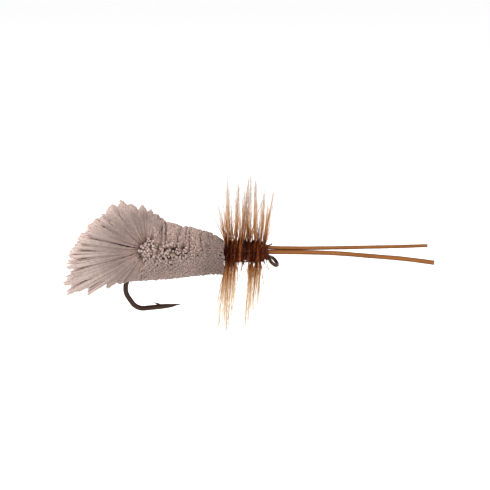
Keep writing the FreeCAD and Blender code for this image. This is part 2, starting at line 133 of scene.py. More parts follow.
def strands(paths, radii, col, sides=6, flat=1.0, roll=None, cap_col=None, cap_bulge=0.0, base_cap=False, along=None):
    """Tubes along many paths of K points. paths (N,K,3) mm, radii (N,K), col (N,K,3) -> verts, quads, tris, colours, along."""
    N, K, _ = paths.shape
    tang = np.gradient(paths, axis=1)
    tang = unit(tang)
    ref = np.zeros((N, 3))
    mean = unit(tang.mean(axis=1))
    k = np.argmin(np.abs(mean), axis=1)
    ref[np.arange(N), k] = 1.0
    side = unit(np.cross(tang, ref[:, None, :]))
    up = np.cross(side, tang)
    ang = np.arange(sides) * 2 * math.pi / sides
    r0 = np.zeros(N) if roll is None else roll
    a = ang[None, :] + r0[:, None]
    ca, sa = np.cos(ang), np.sin(ang)
    cr, sr = np.cos(r0)[:, None, None], np.sin(r0)[:, None, None]
    s2 = side * cr + up * sr
    u2 = -side * sr + up * cr
    ring = (paths[:, :, None, :]
            + radii[:, :, None, None] * (ca[None, None, :, None] * s2[:, :, None, :] + flat * sa[None, None, :, None] * u2[:, :, None, :]))
    verts = ring.reshape(-1, 3)
    colv = np.repeat(col[:, :, None, :], sides, axis=2).reshape(-1, 3)
    t = np.linspace(0, 1, K)[None, :].repeat(N, 0) if along is None else along
    al = np.repeat(t[:, :, None], sides, axis=2).reshape(-1)
    idx = np.arange(N * K * sides).reshape(N, K, sides)
    i0 = idx[:, :-1, :]
    i1 = idx[:, 1:, :]
    q = np.stack([i0, np.roll(i0, -1, axis=2), np.roll(i1, -1, axis=2), i1], axis=-1).reshape(-1, 4)
    # the far end closes on a centre point, and so can the root
    tipc = paths[:, -1, :] + tang[:, -1, :] * (radii[:, -1:] * cap_bulge)
    base = len(verts)
    verts = np.concatenate([verts, tipc])
    cc = col[:, -1, :] if cap_col is None else cap_col
    colv = np.concatenate([colv, cc])
    al = np.concatenate([al, np.ones(N)])
    last = idx[:, -1, :]
    centre = (base + np.arange(N))[:, None].repeat(sides, 1)
    tris = np.stack([last, np.roll(last, -1, axis=1), centre], axis=-1).reshape(-1, 3)
    if base_cap:
        base = len(verts)
        verts = np.concatenate([verts, paths[:, 0, :]])
        colv = np.concatenate([colv, col[:, 0, :]])
        al = np.concatenate([al, np.zeros(N)])
        first = idx[:, 0, :]
        centre = (base + np.arange(N))[:, None].repeat(sides, 1)
        tris = np.concatenate([tris, np.stack([np.roll(first, -1, axis=1), first, centre], axis=-1).reshape(-1, 3)])
    return verts, q, tris, colv, al


def join(parts):
    v, q, t, c, a = [], [], [], [], []
    n = 0
    for pv, pq, pt, pc, pa in parts:
        v.append(pv); q.append(pq + n); t.append(pt + n); c.append(pc); a.append(pa)
        n += len(pv)
    return np.concatenate(v), np.concatenate(q), np.concatenate(t), np.concatenate(c), np.concatenate(a)


def smooth1(x):
    x = np.clip(x, 0, 1)
    return x * x * (3 - 2 * x)


def lerp_table(x, xs, ys):
    return np.interp(x, xs, ys)


# ------------------------------------------------------------------ materials
def new_material(name):
    m = bpy.data.materials.new(name)
    m.use_nodes = True
    nt = m.node_tree
    for n in list(nt.nodes):
        nt.nodes.remove(n)
    out = nt.nodes.new("ShaderNodeOutputMaterial")
    bs = nt.nodes.new("ShaderNodeBsdfPrincipled")
    nt.links.new(bs.outputs["BSDF"], out.inputs["Surface"])
    return m, nt, bs


def node(nt, kind, **props):
    n = nt.nodes.new(kind)
    for k, v in props.items():
        setattr(n, k, v)
    return n


def mix_colour(nt, a, b, fac, mode="MIX"):
    m = node(nt, "ShaderNodeMix", data_type="RGBA", blend_type=mode)
    m.clamp_factor = True
    for sock, val in ((m.inputs[0], fac), (m.inputs[6], a), (m.inputs[7], b)):
        if hasattr(val, "is_linked") or isinstance(val, bpy.types.NodeSocket):
            nt.links.new(val, sock)
        elif isinstance(val, (int, float)):
            sock.default_value = val
        else:
            sock.default_value = (*val, 1.0)
    return m.outputs[2]


def noise(nt, scale, detail=4.0, rough=0.55, coords="Object", stretch=None, w=None):
    tc = node(nt, "ShaderNodeTexCoord")
    mp = node(nt, "ShaderNodeMapping")
    nt.links.new(tc.outputs[coords], mp.inputs["Vector"])
    if stretch:
        mp.inputs["Scale"].default_value = stretch
    n = node(nt, "ShaderNodeTexNoise")
    n.inputs["Scale"].default_value = scale
    n.inputs["Detail"].default_value = detail
    n.inputs["Roughness"].default_value = rough
    nt.links.new(mp.outputs["Vector"], n.inputs["Vector"])
    return n.outputs["Fac"]


def ramp(nt, fac, stops):
    r = node(nt, "ShaderNodeValToRGB")
    el = r.color_ramp.elements
    el[0].position, el[0].color = stops[0][0], (*stops[0][1], 1)
    el[1].position, el[1].color = stops[-1][0], (*stops[-1][1], 1)
    for pos, c in stops[1:-1]:
        e = el.new(pos)
        e.color = (*c, 1)
    nt.links.new(fac, r.inputs["Fac"])
    return r.outputs["Color"]


def math_node(nt, op, a, b=None):
    m = node(nt, "ShaderNodeMath", operation=op)
    for i, v in enumerate((a, b)):
        if v is None:
            continue
        if isinstance(v, bpy.types.NodeSocket):
            nt.links.new(v, m.inputs[i])
        else:
            m.inputs[i].default_value = v
    return m.outputs[0]


def bump(nt, bs, height, strength=0.3, distance=0.00002):
    b = node(nt, "ShaderNodeBump")
    b.inputs["Strength"].default_value = strength
    b.inputs["Distance"].default_value = distance
    nt.links.new(height, b.inputs["Height"])
    nt.links.new(b.outputs["Normal"], bs.inputs["Normal"])


def tint(nt):
    a = node(nt, "ShaderNodeAttribute")
    a.attribute_name = "tint"
    return a.outputs["Color"]


def fibre_material(name, rough, noise_scale, dark, light, spec=0.3, sheen=0.0, bump_strength=0.25, streak=None, bump_mm=0.012):
    """Colour from the strand's own tint, broken up by fine streaks, with a matching roughness and bump."""
    m, nt, bs = new_material(name)
    n1 = noise(nt, noise_scale, 5.0, 0.6)
    n2 = noise(nt, noise_scale * 4.3, 3.0, 0.5, stretch=streak)
    shade = ramp(nt, n1, [(0.25, (dark,) * 3), (0.75, (light,) * 3)])
    fine = ramp(nt, n2, [(0.3, (0.86,) * 3), (0.7, (1.10,) * 3)])
    c = mix_colour(nt, tint(nt), shade, 1.0, "MULTIPLY")
    c = mix_colour(nt, c, fine, 1.0, "MULTIPLY")
    nt.links.new(c, bs.inputs["Base Color"])
    r = ramp(nt, n2, [(0.2, (rough - 0.08,) * 3), (0.8, (rough + 0.1,) * 3)])
    nt.links.new(r, bs.inputs["Roughness"])
    bs.inputs["Specular IOR Level"].default_value = spec
    if sheen:
        bs.inputs["Sheen Weight"].default_value = sheen
        bs.inputs["Sheen Roughness"].default_value = 0.5
    bump(nt, bs, n2, bump_strength, bump_mm * MM)
    return m


HAIR = fibre_material("deer_hair", 0.66, 900.0, 0.92, 1.06, spec=0.10)
BARB = fibre_material("hackle_barb", 0.55, 700.0, 0.90, 1.08, spec=0.06)
STEM = fibre_material("hackle_stem", 0.55, 1100.0, 0.82, 1.15, spec=0.05)
QUILL = fibre_material("stripped_quill", 0.42, 520.0, 0.88, 1.10, spec=0.06, streak=(0.05, 1.0, 1.0))


def hook_material():
    m, nt, bs = new_material("bronzed_hook_wire")
    n1 = noise(nt, 350.0, 5.0, 0.6)
    n2 = noise(nt, 2600.0, 3.0, 0.6)
    c = ramp(nt, n1, [(0.2, (0.016, 0.006, 0.003)), (0.55, (0.027, 0.012, 0.007)), (0.85, (0.050, 0.026, 0.017))])
    nt.links.new(c, bs.inputs["Base Color"])
    r = ramp(nt, n2, [(0.2, (0.17,) * 3), (0.8, (0.27,) * 3)])
    nt.links.new(r, bs.inputs["Roughness"])
    bs.inputs["Metallic"].default_value = 0.0
    bs.inputs["Specular IOR Level"].default_value = 0.26
    bs.inputs["Specular Tint"].default_value = (1.0, 0.72, 0.62, 1.0)
    bump(nt, bs, n2, 0.15, 0.004 * MM)
    return m


HOOK = hook_material()


def thread_material(name, base, light):
    """Waxed tying thread: turns across the shank, each painted lighter along its middle as a painted sheen, like that
    of nylon floss, and darker between turns as painted shade.
    """
    m, nt, bs = new_material(name)
    tc = node(nt, "ShaderNodeTexCoord")
    w = node(nt, "ShaderNodeTexWave", wave_type="BANDS", bands_direction="X")
    w.inputs["Scale"].default_value = 1150.0
    w.inputs["Distortion"].default_value = 1.2
    w.inputs["Detail"].default_value = 2.0
    w.inputs["Detail Scale"].default_value = 1.5
    nt.links.new(tc.outputs["Object"], w.inputs["Vector"])
    n = noise(nt, 1500.0, 4.0, 0.6)
    # painted shade between the turns (base * 0.45) and a painted sheen along each turn (light)
    c = ramp(nt, w.outputs["Fac"], [(0.0, tuple(b * 0.45 for b in base)), (0.45, base), (1.0, light)])
    c = mix_colour(nt, c, ramp(nt, n, [(0.3, (0.8,) * 3), (0.7, (1.15,) * 3)]), 1.0, "MULTIPLY")
    nt.links.new(c, bs.inputs["Base Color"])
    bs.inputs["Roughness"].default_value = 0.55
    bs.inputs["Specular IOR Level"].default_value = 0.12
    bump(nt, bs, w.outputs["Fac"], 0.8, 0.02 * MM)
    return m


BODY_THREAD = thread_material("body_thread", (0.30, 0.22, 0.19), (0.45, 0.35, 0.30))
HEAD_THREAD = thread_material("head_thread", (0.040, 0.010, 0.005), (0.080, 0.024, 0.012))


def dress(node_name, material, slot):
    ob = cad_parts[node_name]
    if not ob.material_slots:
        ob.data.materials.append(material)
    for s in ob.material_slots:
        s.material = material


for k in range(1, 7):
    dress("thread_band_%d" % k, BODY_THREAD, "body_thread")
dress("rear_thread_base", BODY_THREAD, "body_thread")
dress("head_thread_base", HEAD_THREAD, "head_thread")


def finish_piece(ob, body, slot, *nodes):
    if nodes:
        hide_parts(*nodes)
    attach(ob, body)
    return ob


# ------------------------------------------------------------------ the hook
def arc_points(p, heading, radius, turn, step):
    h = math.radians(heading)
    side = 1 if turn > 0 else -1
    c = (p[0] - side * radius * math.sin(h), p[1] + side * radius * math.cos(h))
    n = max(2, int(abs(math.radians(turn)) * radius / step))
    out = []
    for i in range(1, n + 1):
        a = math.radians(heading + turn * i / n)
        out.append((c[0] + side * radius * math.sin(a), c[1] - side * radius * math.cos(a)))
    return out, heading + turn


def line_points(p, q, step):
    d = math.dist(p, q)
    n = max(1, int(d / step))
    return [(p[0] + (q[0] - p[0]) * i / n, p[1] + (q[1] - p[1]) * i / n) for i in range(1, n + 1)]


def go(p, heading, length):
    h = math.radians(heading)
    return (p[0] + length * math.cos(h), p[1] + length * math.sin(h))


EYE_TWIST = math.radians(16.0)
DOWN = np.array([math.sqrt(0.5), 0.0, -math.sqrt(0.5)])
EYE_N = np.array([math.cos(EYE_TWIST) * math.sqrt(0.5), -math.sin(EYE_TWIST), math.cos(EYE_TWIST) * math.sqrt(0.5)])
EYE_V = np.cross(EYE_N, DOWN)


def hook_mesh():
    step = 0.09
    neck0 = (-1.25 + 0.60 * math.sin(math.pi / 4), SHANK_Z - 0.60 * (1 - math.cos(math.pi / 4)))
    pts = [neck0]
    new, h = arc_points(neck0, 135.0, 0.60, 45.0, step * 0.6); pts += new
    pts += line_points(pts[-1], (-11.30, SHANK_Z), step * 2)
    new, h = arc_points(pts[-1], h, 3.0, 56.0, step); pts += new
    pts += line_points(pts[-1], go(pts[-1], h, 1.84), step)
    new, h = arc_points(pts[-1], h, 1.6, 34.0, step); pts += new
    pts += line_points(pts[-1], go(pts[-1], h, 0.12), step)
    new, h = arc_points(pts[-1], h, 1.5, 35.0, step); pts += new
    pts += line_points(pts[-1], go(pts[-1], h, 0.69), step)
    new, h = arc_points(pts[-1], h, 1.35, 60.9, step); pts += new
    pts += line_points(pts[-1], go(pts[-1], h, 1.70), step)
    p3 = np.array([(x, 0.0, z) for x, z in pts])
    r = np.full(len(p3), 0.262)
    # the needle point, ground mostly from below
    sx, szz = pts[-1]
    xs = [sx, sx + 0.55, sx + 1.10, -9.85, -9.36]
    zs = [szz, szz + 0.055, szz + 0.105, -4.475, -4.44]
    rs = [0.262, 0.236, 0.180, 0.094, 0.014]
    f = np.linspace(0, 1, 34)[1:]
    tx = sx + (-9.36 - sx) * f
    spear = np.stack([tx, np.zeros_like(tx), np.interp(tx, xs, zs)], 1)
    # soften the table's corners
    sr = np.interp(tx, xs, rs)
    for _ in range(3):
        sr[1:-1] = (sr[:-2] + 2 * sr[1:-1] + sr[2:]) / 4
        spear[1:-1, 2] = (spear[:-2, 2] + 2 * spear[1:-1, 2] + spear[2:, 2]) / 4
    p3 = np.concatenate([p3, spear])
    r = np.concatenate([r, sr])
    # the wire tapers down the neck into the eye and closes on itself
    m = 14
    t = np.linspace(0, 1, m)[:-1]
    ring_in = -DOWN * 0.57
    a0 = np.array([neck0[0], 0, neck0[1]])
    neck = a0[None] + (ring_in - a0)[None] * t[:, None]
    nr = 0.262 + (0.160 - 0.262) * smooth1(t * 1.05)
    th = np.linspace(0.0, 2 * math.pi * 0.965, 66)
    # the ring starts at the neck, on its centre line
    ring = 0.57 * (-DOWN[None] * np.cos(th)[:, None] + EYE_V[None] * np.sin(th)[:, None])
    rr = 0.182 - 0.012 * (th / th[-1])
    rr[-3:] *= np.array([0.95, 0.8, 0.45])
    # the wire runs from the ring's first point back up the neck and on along the shank
    n_in = 5
    parts = []
    shank = np.concatenate([neck[::-1][:], p3[1:]])
    shank_r = np.concatenate([nr[::-1], r[1:]])
    first = ring_in[None] - np.array([[0, 0, 0]])
    shank = np.concatenate([first, shank])
    shank_r = np.concatenate([[0.150], shank_r])
    def tube(p, rad, flat=1.0):
        c = np.tile(lin(60, 45, 38), (1, len(p), 1))
        return strands(p[None], rad[None], c, sides=28, cap_bulge=0.6, base_cap=True)
    parts.append(tube(shank, shank_r))
    parts.append(tube(ring, rr))
    # barb: a sliver cut up from the wire
    b0, b1 = np.array([-11.62, 0, -4.50]), np.array([-12.30, 0, -4.275])
    bt = np.linspace(0, 1, 10)
    bp = b0[None] + (b1 - b0)[None] * bt[:, None]
    bp[:, 2] += 0.035 * np.sin(bt * math.pi)
    br = 0.11 * (1 - bt) ** 0.75 + 0.006
    parts.append(tube(bp, br))
    v, q, t3, c, a = join(parts)
    return mesh_object("hook_wire", v, q, t3, c, a, mats=[HOOK])


hook = finish_piece(hook_mesh(), FLY, "hook_wire", "hook")

# ------------------------------------------------------------------ hair
HAIR_PALE = lin(180, 161, 153)
HAIR_MID = lin(158, 137, 129)
HAIR_DARK = lin(136, 114, 106)
HAIR_ROOT = lin(112, 90, 82)
HAIR_CUT = lin(162, 142, 134)
# painted shade: the colour of the deep holes and clefts in the skin under the hair
HAIR_DEEP_SHADE = lin(66, 46, 38)


def fibres(p, w, prof, c, r, cut, sides=5, bulge=0.3, flat=0.9):
    """Hairs as tubes: paths, half-thickness each, thickness profile along, colours, and the colour of the cut end."""
    n = len(p)
    radii = w[:, None] * np.asarray(prof)[None]
    return strands(p, radii, c.clip(0, 0.95), sides=sides, cap_col=cut.clip(0, 0.95), cap_bulge=bulge * 0.5, roll=r.random(n) * 6.28, flat=flat)


# the body's outline, station by station in mm: x, top, bottom, half width
ST_X = np.array([-16.5, -14.6, -13.2, -12.6, -12.0, -11.4, -10.4, -9.6, -9.1, -8.5, -7.9, -7.2, -6.5, -5.9, -5.5, -5.2, -5.02])
ST_TOP = np.array([4.6, 4.9, 4.65, 4.50, 4.42, 4.24, 3.94, 3.74, 3.65, 3.53, 3.36, 3.17, 2.95, 2.68, 2.40, 2.18, 2.00])
ST_BOT = np.array([-2.0, -1.98, -1.90, -1.86, -1.82, -1.78, -1.72, -1.64, -1.56, -1.49, -1.43, -1.36, -1.27, -1.24, -1.27, -1.30, -1.30])
ST_W = np.array([3.4, 3.3, 3.2, 3.15, 3.10, 3.00, 2.85, 2.74, 2.66, 2.58, 2.50, 2.42, 2.30, 2.14, 2.00, 1.86, 1.70])


def outline_radius(x, ang):
    """How far the clipped surface is from the shank axis, in the direction ang from +Z towards -Y."""
    top = np.interp(x, ST_X, ST_TOP) - SHANK_Z
    bot = SHANK_Z - np.interp(x, ST_X, ST_BOT)
    w = np.interp(x, ST_X, ST_W)
    up = np.cos(ang) >= 0
    high = np.where(up, top, bot)
    # round above, and a little squarer below, where the belly is clipped flat
    e = np.where(up, 2.0, 2.6)
    ca, sa = np.abs(np.cos(ang)), np.abs(np.sin(ang))
    return ((ca / high) ** e + (sa / w) ** e) ** (-1 / e)


def loose_zone(x, ang):
    """1 where the hair stands in coarse separate cut ends with dark gaps, low on each flank behind the middle."""
    z = SHANK_Z + outline_radius(x, ang) * np.cos(ang)
    d = ((x + 11.2) / 2.9) ** 2 + ((z - 1.28) / 1.25) ** 2
    d = d + 0.26 * np.sin(x * 3.1 + z * 2.3) * np.sin(z * 4.7 - x * 1.9)
    return smooth1((1.20 - d) / 0.85)


def pits(x, ang):
    """1 at the few dark holes between the coarse ends."""
    z = SHANK_Z + outline_radius(x, ang) * np.cos(ang)
    out = np.zeros(np.shape(x))
    for px, pz, w in ((-10.95, 1.65, 0.17), (-10.05, 1.62, 0.20), (-9.55, 1.05, 0.17), (-10.55, 0.75, 0.15), (-11.15, 0.55, 0.13), (-9.05, 1.75, 0.16), (-8.85, 1.15, 0.13), (-5.42, 0.80, 0.10), (-5.22, 0.52, 0.09), (-5.30, 1.12, 0.08), (-5.62, 0.50, 0.08),
                      (-11.75, -0.05, 0.10), (-11.10, -0.35, 0.07), (-10.30, 0.05, 0.08), (-9.55, 0.20, 0.07), (-8.45, 0.55, 0.08), (-7.70, 0.95, 0.07), (-8.10, 1.65, 0.09), (-7.30, 1.45, 0.07), (-6.60, 0.70, 0.06)):
        out = np.maximum(out, np.exp(-((x - px) / (1.35 * w)) ** 4 - ((z - pz) / w) ** 4))
    return out


def furrows(x, ang):
    """0 on a tuft to 1 in the cleft between tufts, where rows of hair part over the back."""
    w = x + 0.20 * np.sin(2.2 * ang + 0.9 * x) + 0.08 * np.sin(5.0 * ang - 2.1 * x) + 0.03 * np.sin(9.0 * ang + 3.0 * x) + 0.16 * np.sign(np.sin(ang)) * (1 - np.cos(ang)) + 0.17 * np.sin(2.9 * x + 1.0) + 0.13 * np.sin(5.3 * x + 2.6 * np.cos(ang))
    f = np.abs(np.sin(math.pi * w / (0.70 - 0.022 * (x + 12))))
    cleft = np.clip(1 - f / 0.80, 0, 1)
    k = 0.74 + 0.26 * np.sin(4.0 * ang + 5.3 * x) * np.sin(3.0 * ang - 1.7 * x)
    depth = np.interp(x, [-12.3, -10.5, -9.0, -7.6, -6.4, -5.4], [0.38, 0.38, 0.36, 0.27, 0.18, 0.07])
    up = smooth1((np.cos(ang) + 0.25) / 0.60)
    period = 0.70 - 0.022 * (x + 12)
    gather = ((np.floor(w / period) + 0.5) * period - w) * up
    return cleft * k, depth * up, gather


def spun(x, a, band_x, r, r_lo, r_hi, K, t_from, jag, gain, lean, sway=0.0, comb=0.0, vary=0.045):
    """Hairs that flare from the thread at band_x and are cut off at the body's outline."""
    n = len(x)
    cleft, depth, gather = furrows(x, a)
    low = smooth1((-np.cos(a) + 0.15) / 0.6)
    z = SHANK_Z + outline_radius(x, a) * np.cos(a)
    diag = np.sin((x - 1.1 * z) * 13.0 + 1.2 * np.sin(x * 4.0)) * low
    rad = outline_radius(x, a) - cleft * depth + 0.022 * diag + jag * r.normal(size=n)
    out = np.stack([np.zeros(n), -np.sin(a), np.cos(a)], 1)
    axis = np.stack([np.zeros(n), np.zeros(n), np.full(n, SHANK_Z)], 1)
    tip = axis + out * rad[:, None]
    tip[:, 0] = x + r.normal(0, 0.03, n) + gather * np.interp(x, [-12.0, -8.5, -6.0], [0.50, 0.42, 0.30])
    # loose hairs lie over in little groups, so that some show their sides
    g = np.sin(x * 5.1 + z * 3.3) * np.cos(z * 4.1 - x * 2.2)
    tip[:, 0] += sway * (1.6 * g + 0.7 * r.normal(size=n))
    tip[:, 2] += sway * (1.2 * g + 0.7 * r.normal(size=n))
    root = axis + out * 0.45
    root[:, 0] = band_x + (x - band_x) * 0.30 + lean * rad + r.normal(0, 0.03, n)
    t = np.linspace(t_from, 1, K)
    ctrl = root * 0.45 + tip * 0.55
    ctrl[:, 0] = root[:, 0] * 0.22 + tip[:, 0] * 0.78
    if comb:
        # on the upper flanks the ends sweep up towards the back, so that they show as upright streaks
        cw = smooth1((np.cos(a) + 0.20) / 0.45) * smooth1((1.03 - np.cos(a)) / 0.22)
        a2 = a - np.where(a < math.pi, 1.0, -1.0) * comb * cw * (0.7 + 0.6 * r.random(n)) / rad
        rad2 = outline_radius(x, a2) - cleft * depth + jag * r.normal(size=n)
        out2 = np.stack([np.zeros(n), -np.sin(a2), np.cos(a2)], 1)
        bent_tip = axis + out2 * rad2[:, None]
        bent_tip[:, 0] = tip[:, 0] + 0.04 * r.normal(size=n) * cw + np.interp(x, [-12.0, -9.0, -6.0], [0.05, -0.06, -0.10]) * cw
        bent_ctrl = axis + out * (rad - 0.02)[:, None]
        bent_ctrl[:, 0] = tip[:, 0]
        k2 = cw[:, None]
        tip = tip * (1 - k2) + bent_tip * k2
        ctrl = ctrl * (1 - k2) + bent_ctrl * k2
    tt = t[None, :, None]
    p = (1 - tt) ** 2 * root[:, None] + 2 * tt * (1 - tt) * ctrl[:, None] + tt ** 2 * tip[:, None]
    w = r_lo + (r_hi - r_lo) * r.random(n)
    front = smooth1((x + 8.6) / 2.2)
    rows = np.sin(x * 16.0 + 2.2 * np.sin(3 * a) + 1.5 * np.sin(x * 4.7)) * smooth1((np.cos(a) + 0.15) / 0.5)
    patch = np.sin(x * 3.3 + 2.0 * a) * np.sin(5.0 * a - 2.6 * x)
    # painted shade in the hair and cut-end colour: darker on the underside (low), towards the front in the hackle's
    # shadow (front) and in the clefts between tufts; the other terms vary the tone
    shade = gain * (1 + 0.065 * rows + 0.04 * patch) * (1 - 0.13 * low) * (1 - 0.26 * front) * (1 - 0.31 * np.clip(cleft * depth * 3.0, 0, 1)) * (1 + 0.09 * diag) * (1 + vary * r.normal(size=n))
    k = np.linspace(0, 1, K)[None, :, None]
    c = (HAIR_ROOT * (1 - k) + HAIR_MID * k) * shade[:, None, None]
    cut = HAIR_CUT[None] * shade[:, None]
    return fibres(p, w, 0.85 + 0.15 * np.linspace(0, 1, K), c, r, cut)


def cover(x0, x1, sp, r, keep):
    """Points spread evenly over the outline between x0 and x1, sp apart, where keep allows."""
    n_x = max(2, int(round((x1 - x0) / (sp * 0.87))))
    xs, an = [], []
    for i in range(n_x):
        xc = x0 + (x1 - x0) * (i + 0.5) / n_x
        dense = np.arange(0, 2 * math.pi, 0.01)
        rad = outline_radius(np.full(len(dense), xc), dense)
        arc = np.concatenate([[0], np.cumsum(np.hypot(np.diff(rad), 0.01 * rad[:-1]))])
        per = max(8, int(arc[-1] / sp))
        s = (np.arange(per) + 0.5 * (i % 2) + 0.25) / per * arc[-1]
        an.append(np.interp(s, arc, dense)); xs.append(np.full(per, xc))
    x, a = np.concatenate(xs), np.concatenate(an)
    x = x + r.normal(0, sp * 0.22, len(x))
    a = a + r.normal(0, sp * 0.22, len(a)) / outline_radius(x, a)
    k = keep(x, a, r.random(len(x)))
    return x[k], a[k]


def under(x0, x1, scale_loose, name):
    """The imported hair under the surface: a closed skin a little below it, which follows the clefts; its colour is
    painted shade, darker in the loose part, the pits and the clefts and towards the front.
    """
    na, nx = 180, max(8, int((x1 - x0) / 0.06))
    gx = np.linspace(x0, x1, nx)
    ga = np.arange(na) / na * 2 * math.pi
    X, A = np.meshgrid(gx, ga, indexing="ij")
    zl = loose_zone(X, A)
    cleft, depth, _ = furrows(X, A)
    R = outline_radius(X, A) - 0.085 - cleft * depth * 1.05 - 0.16 * zl - 0.25 * pits(X, A)
    R = R + 0.02 * np.sin(X * 41 + 3 * np.sin(A * 23)) * np.sin(A * 61 + X * 7)
    cv = np.stack([X, -np.sin(A) * R, SHANK_Z + np.cos(A) * R], -1).reshape(-1, 3)
    ii = np.arange(nx * na).reshape(nx, na)
    q = np.stack([ii[:-1], np.roll(ii[:-1], -1, 1), np.roll(ii[1:], -1, 1), ii[1:]], -1).reshape(-1, 4)[:, ::-1]
    base = len(cv)
    cv = np.concatenate([cv, [[gx[0], 0, SHANK_Z]], [[gx[-1], 0, SHANK_Z]]])
    e0 = np.stack([ii[0], np.roll(ii[0], -1), np.full(na, base)], -1)
    e1 = np.stack([np.roll(ii[-1], -1), ii[-1], np.full(na, base + 1)], -1)
    front = smooth1((X + 8.6) / 2.2)
    pit = pits(X, A)
    # painted shade: the skin darkens towards the deep shade colour in the loose part, in the pits and in the clefts,
    # and towards the front, in the hackle's shadow
    k = np.clip(zl * 0.16 + 1.6 * pit + cleft * depth * 0.75, 0, 1)[..., None]
    c = HAIR_DARK * (1 - k) + HAIR_DEEP_SHADE * k
    c = c * (1 - 0.16 * front[..., None])
    c = np.concatenate([c.reshape(-1, 3), np.tile(HAIR_DARK, (2, 1))])
    return cv, q, np.concatenate([e0, e1]), c, np.zeros(len(cv))


def body_hair(name, x_rear, x_front, band_x, seed, cad_node, lean):
    """One spun bundle: fine clipped hair nearly all over, coarse separate ends low on each flank."""
    r = rng(seed)
    def flank(x, a):
        return smooth1((np.cos(a) + 0.22) / 0.30)
    x, a = cover(x_rear, x_front, 0.112, r, lambda x, a, u: (u > loose_zone(x, a) * 1.05) & (u > pits(x, a) * 1.4 - 0.2) & (flank(x, a) < 0.5))
    parts = [spun(x, a, band_x, r, 0.060, 0.080, 3, 0.62, 0.038, 1.0, lean, vary=0.085)]
    fine = smooth1((x_rear + 9.0) / 2.5)
    x, a = cover(x_rear, x_front, 0.150 - 0.03 * fine, r, lambda x, a, u: (u > loose_zone(x, a) * 1.05) & (u > pits(x, a) * 1.4 - 0.2) & (flank(x, a) >= 0.5))
    parts.append(spun(x, a, band_x, r, 0.082 - 0.016 * fine, 0.112 - 0.024 * fine, 6, 0.60, 0.024, 1.0, lean, comb=0.62 - 0.22 * fine, vary=0.085))
    x, a = cover(x_rear, x_front, 0.245, r, lambda x, a, u: (u < loose_zone(x, a) * 1.25) & (u < 0.97 - 0.95 * pits(x, a)))
    if len(x):
        parts.append(spun(x, a, band_x, r, 0.122, 0.162, 4, 0.45, 0.030, 0.97, lean, 0.11))
    parts.append(under(x_rear - 0.02, x_front, 1.0, name))
    v, q, t3, c, al = join(parts)
    ob = mesh_object(name, v, q, t3, c, al, mats=[HAIR])
    return finish_piece(ob, FLY, "deer_hair", cad_node)


bundles = [
    # name, rear, front, band
    ("hair_bundle_2_spun", -12.1, -10.4, -10.95, 21, "hair_bundle_2", -0.02),
    ("hair_bundle_3_spun", -10.4, -9.1, -9.75, 22, "hair_bundle_3", 0.0),
    ("hair_bundle_4_spun", -9.1, -7.9, -8.50, 23, "hair_bundle_4", 0.02),
    ("hair_bundle_5_spun", -7.9, -6.5, -7.20, 24, "hair_bundle_5", 0.03),
    ("hair_bundle_6_spun", -6.5, -5.05, -5.80, 25, "hair_bundle_6", 0.03),
]
for nm, x0, x1, bx, seed, cad, lean in bundles:
    body_hair(nm, x0, x1, bx, seed, cad, lean)

# ------------------------------------------------------------------ the rear fan
ROOT = np.array([-12.80, 0.0, 1.42])
# the fan's outline from the side: degrees round from +X over +Z, mm from ROOT,
# and whether that is the tip of a lock (1) or a notch between locks (0)
RIM = np.array([
    (58.0, 3.02, 1), (63.0, 3.06, 1), (68.0, 3.08, 0), (72.0, 3.26, 1), (76.0, 3.30, 1), (80.0, 3.24, 0), (85.0, 3.66, 1), (91.5, 3.40, 0), (97.5, 4.14, 1), (105.5, 3.62, 0), (112.4, 4.46, 1), (118.5, 4.44, 1),
    (122.5, 5.28, 1), (127.2, 4.42, 0), (132.1, 5.38, 1), (137.4, 5.42, 1), (140.6, 4.82, 0), (146.8, 5.58, 1), (150.4, 4.96, 0),
    (153.8, 5.85, 1), (158.7, 5.92, 1), (162.3, 6.38, 1), (166.5, 6.30, 0), (171.4, 6.96, 1), (174.3, 6.72, 0), (177.3, 7.24, 1),
    (179.6, 5.70, 0), (181.8, 7.45, 1), (184.2, 7.84, 1), (186.4, 6.05, 0), (188.4, 7.56, 1), (189.8, 7.70, 0), (191.8, 8.46, 1),
    (195.2, 7.12, 0), (197.3, 8.00, 1), (200.0, 8.34, 0), (202.6, 9.40, 1), (206.0, 7.50, 0), (208.8, 9.32, 1), (213.2, 7.70, 0),
    (216.7, 7.40, 1), (220.0, 6.10, 0), (223.3, 5.42, 1), (226.2, 4.70, 0), (231.0, 4.22, 1), (236.5, 3.62, 1), (241.0, 3.24, 1), (247.0, 3.04, 1), (254.0, 2.96, 1), (262.0, 2.92, 1)])
LOCK_PHI = RIM[RIM[:, 2] > 0.5, 0]


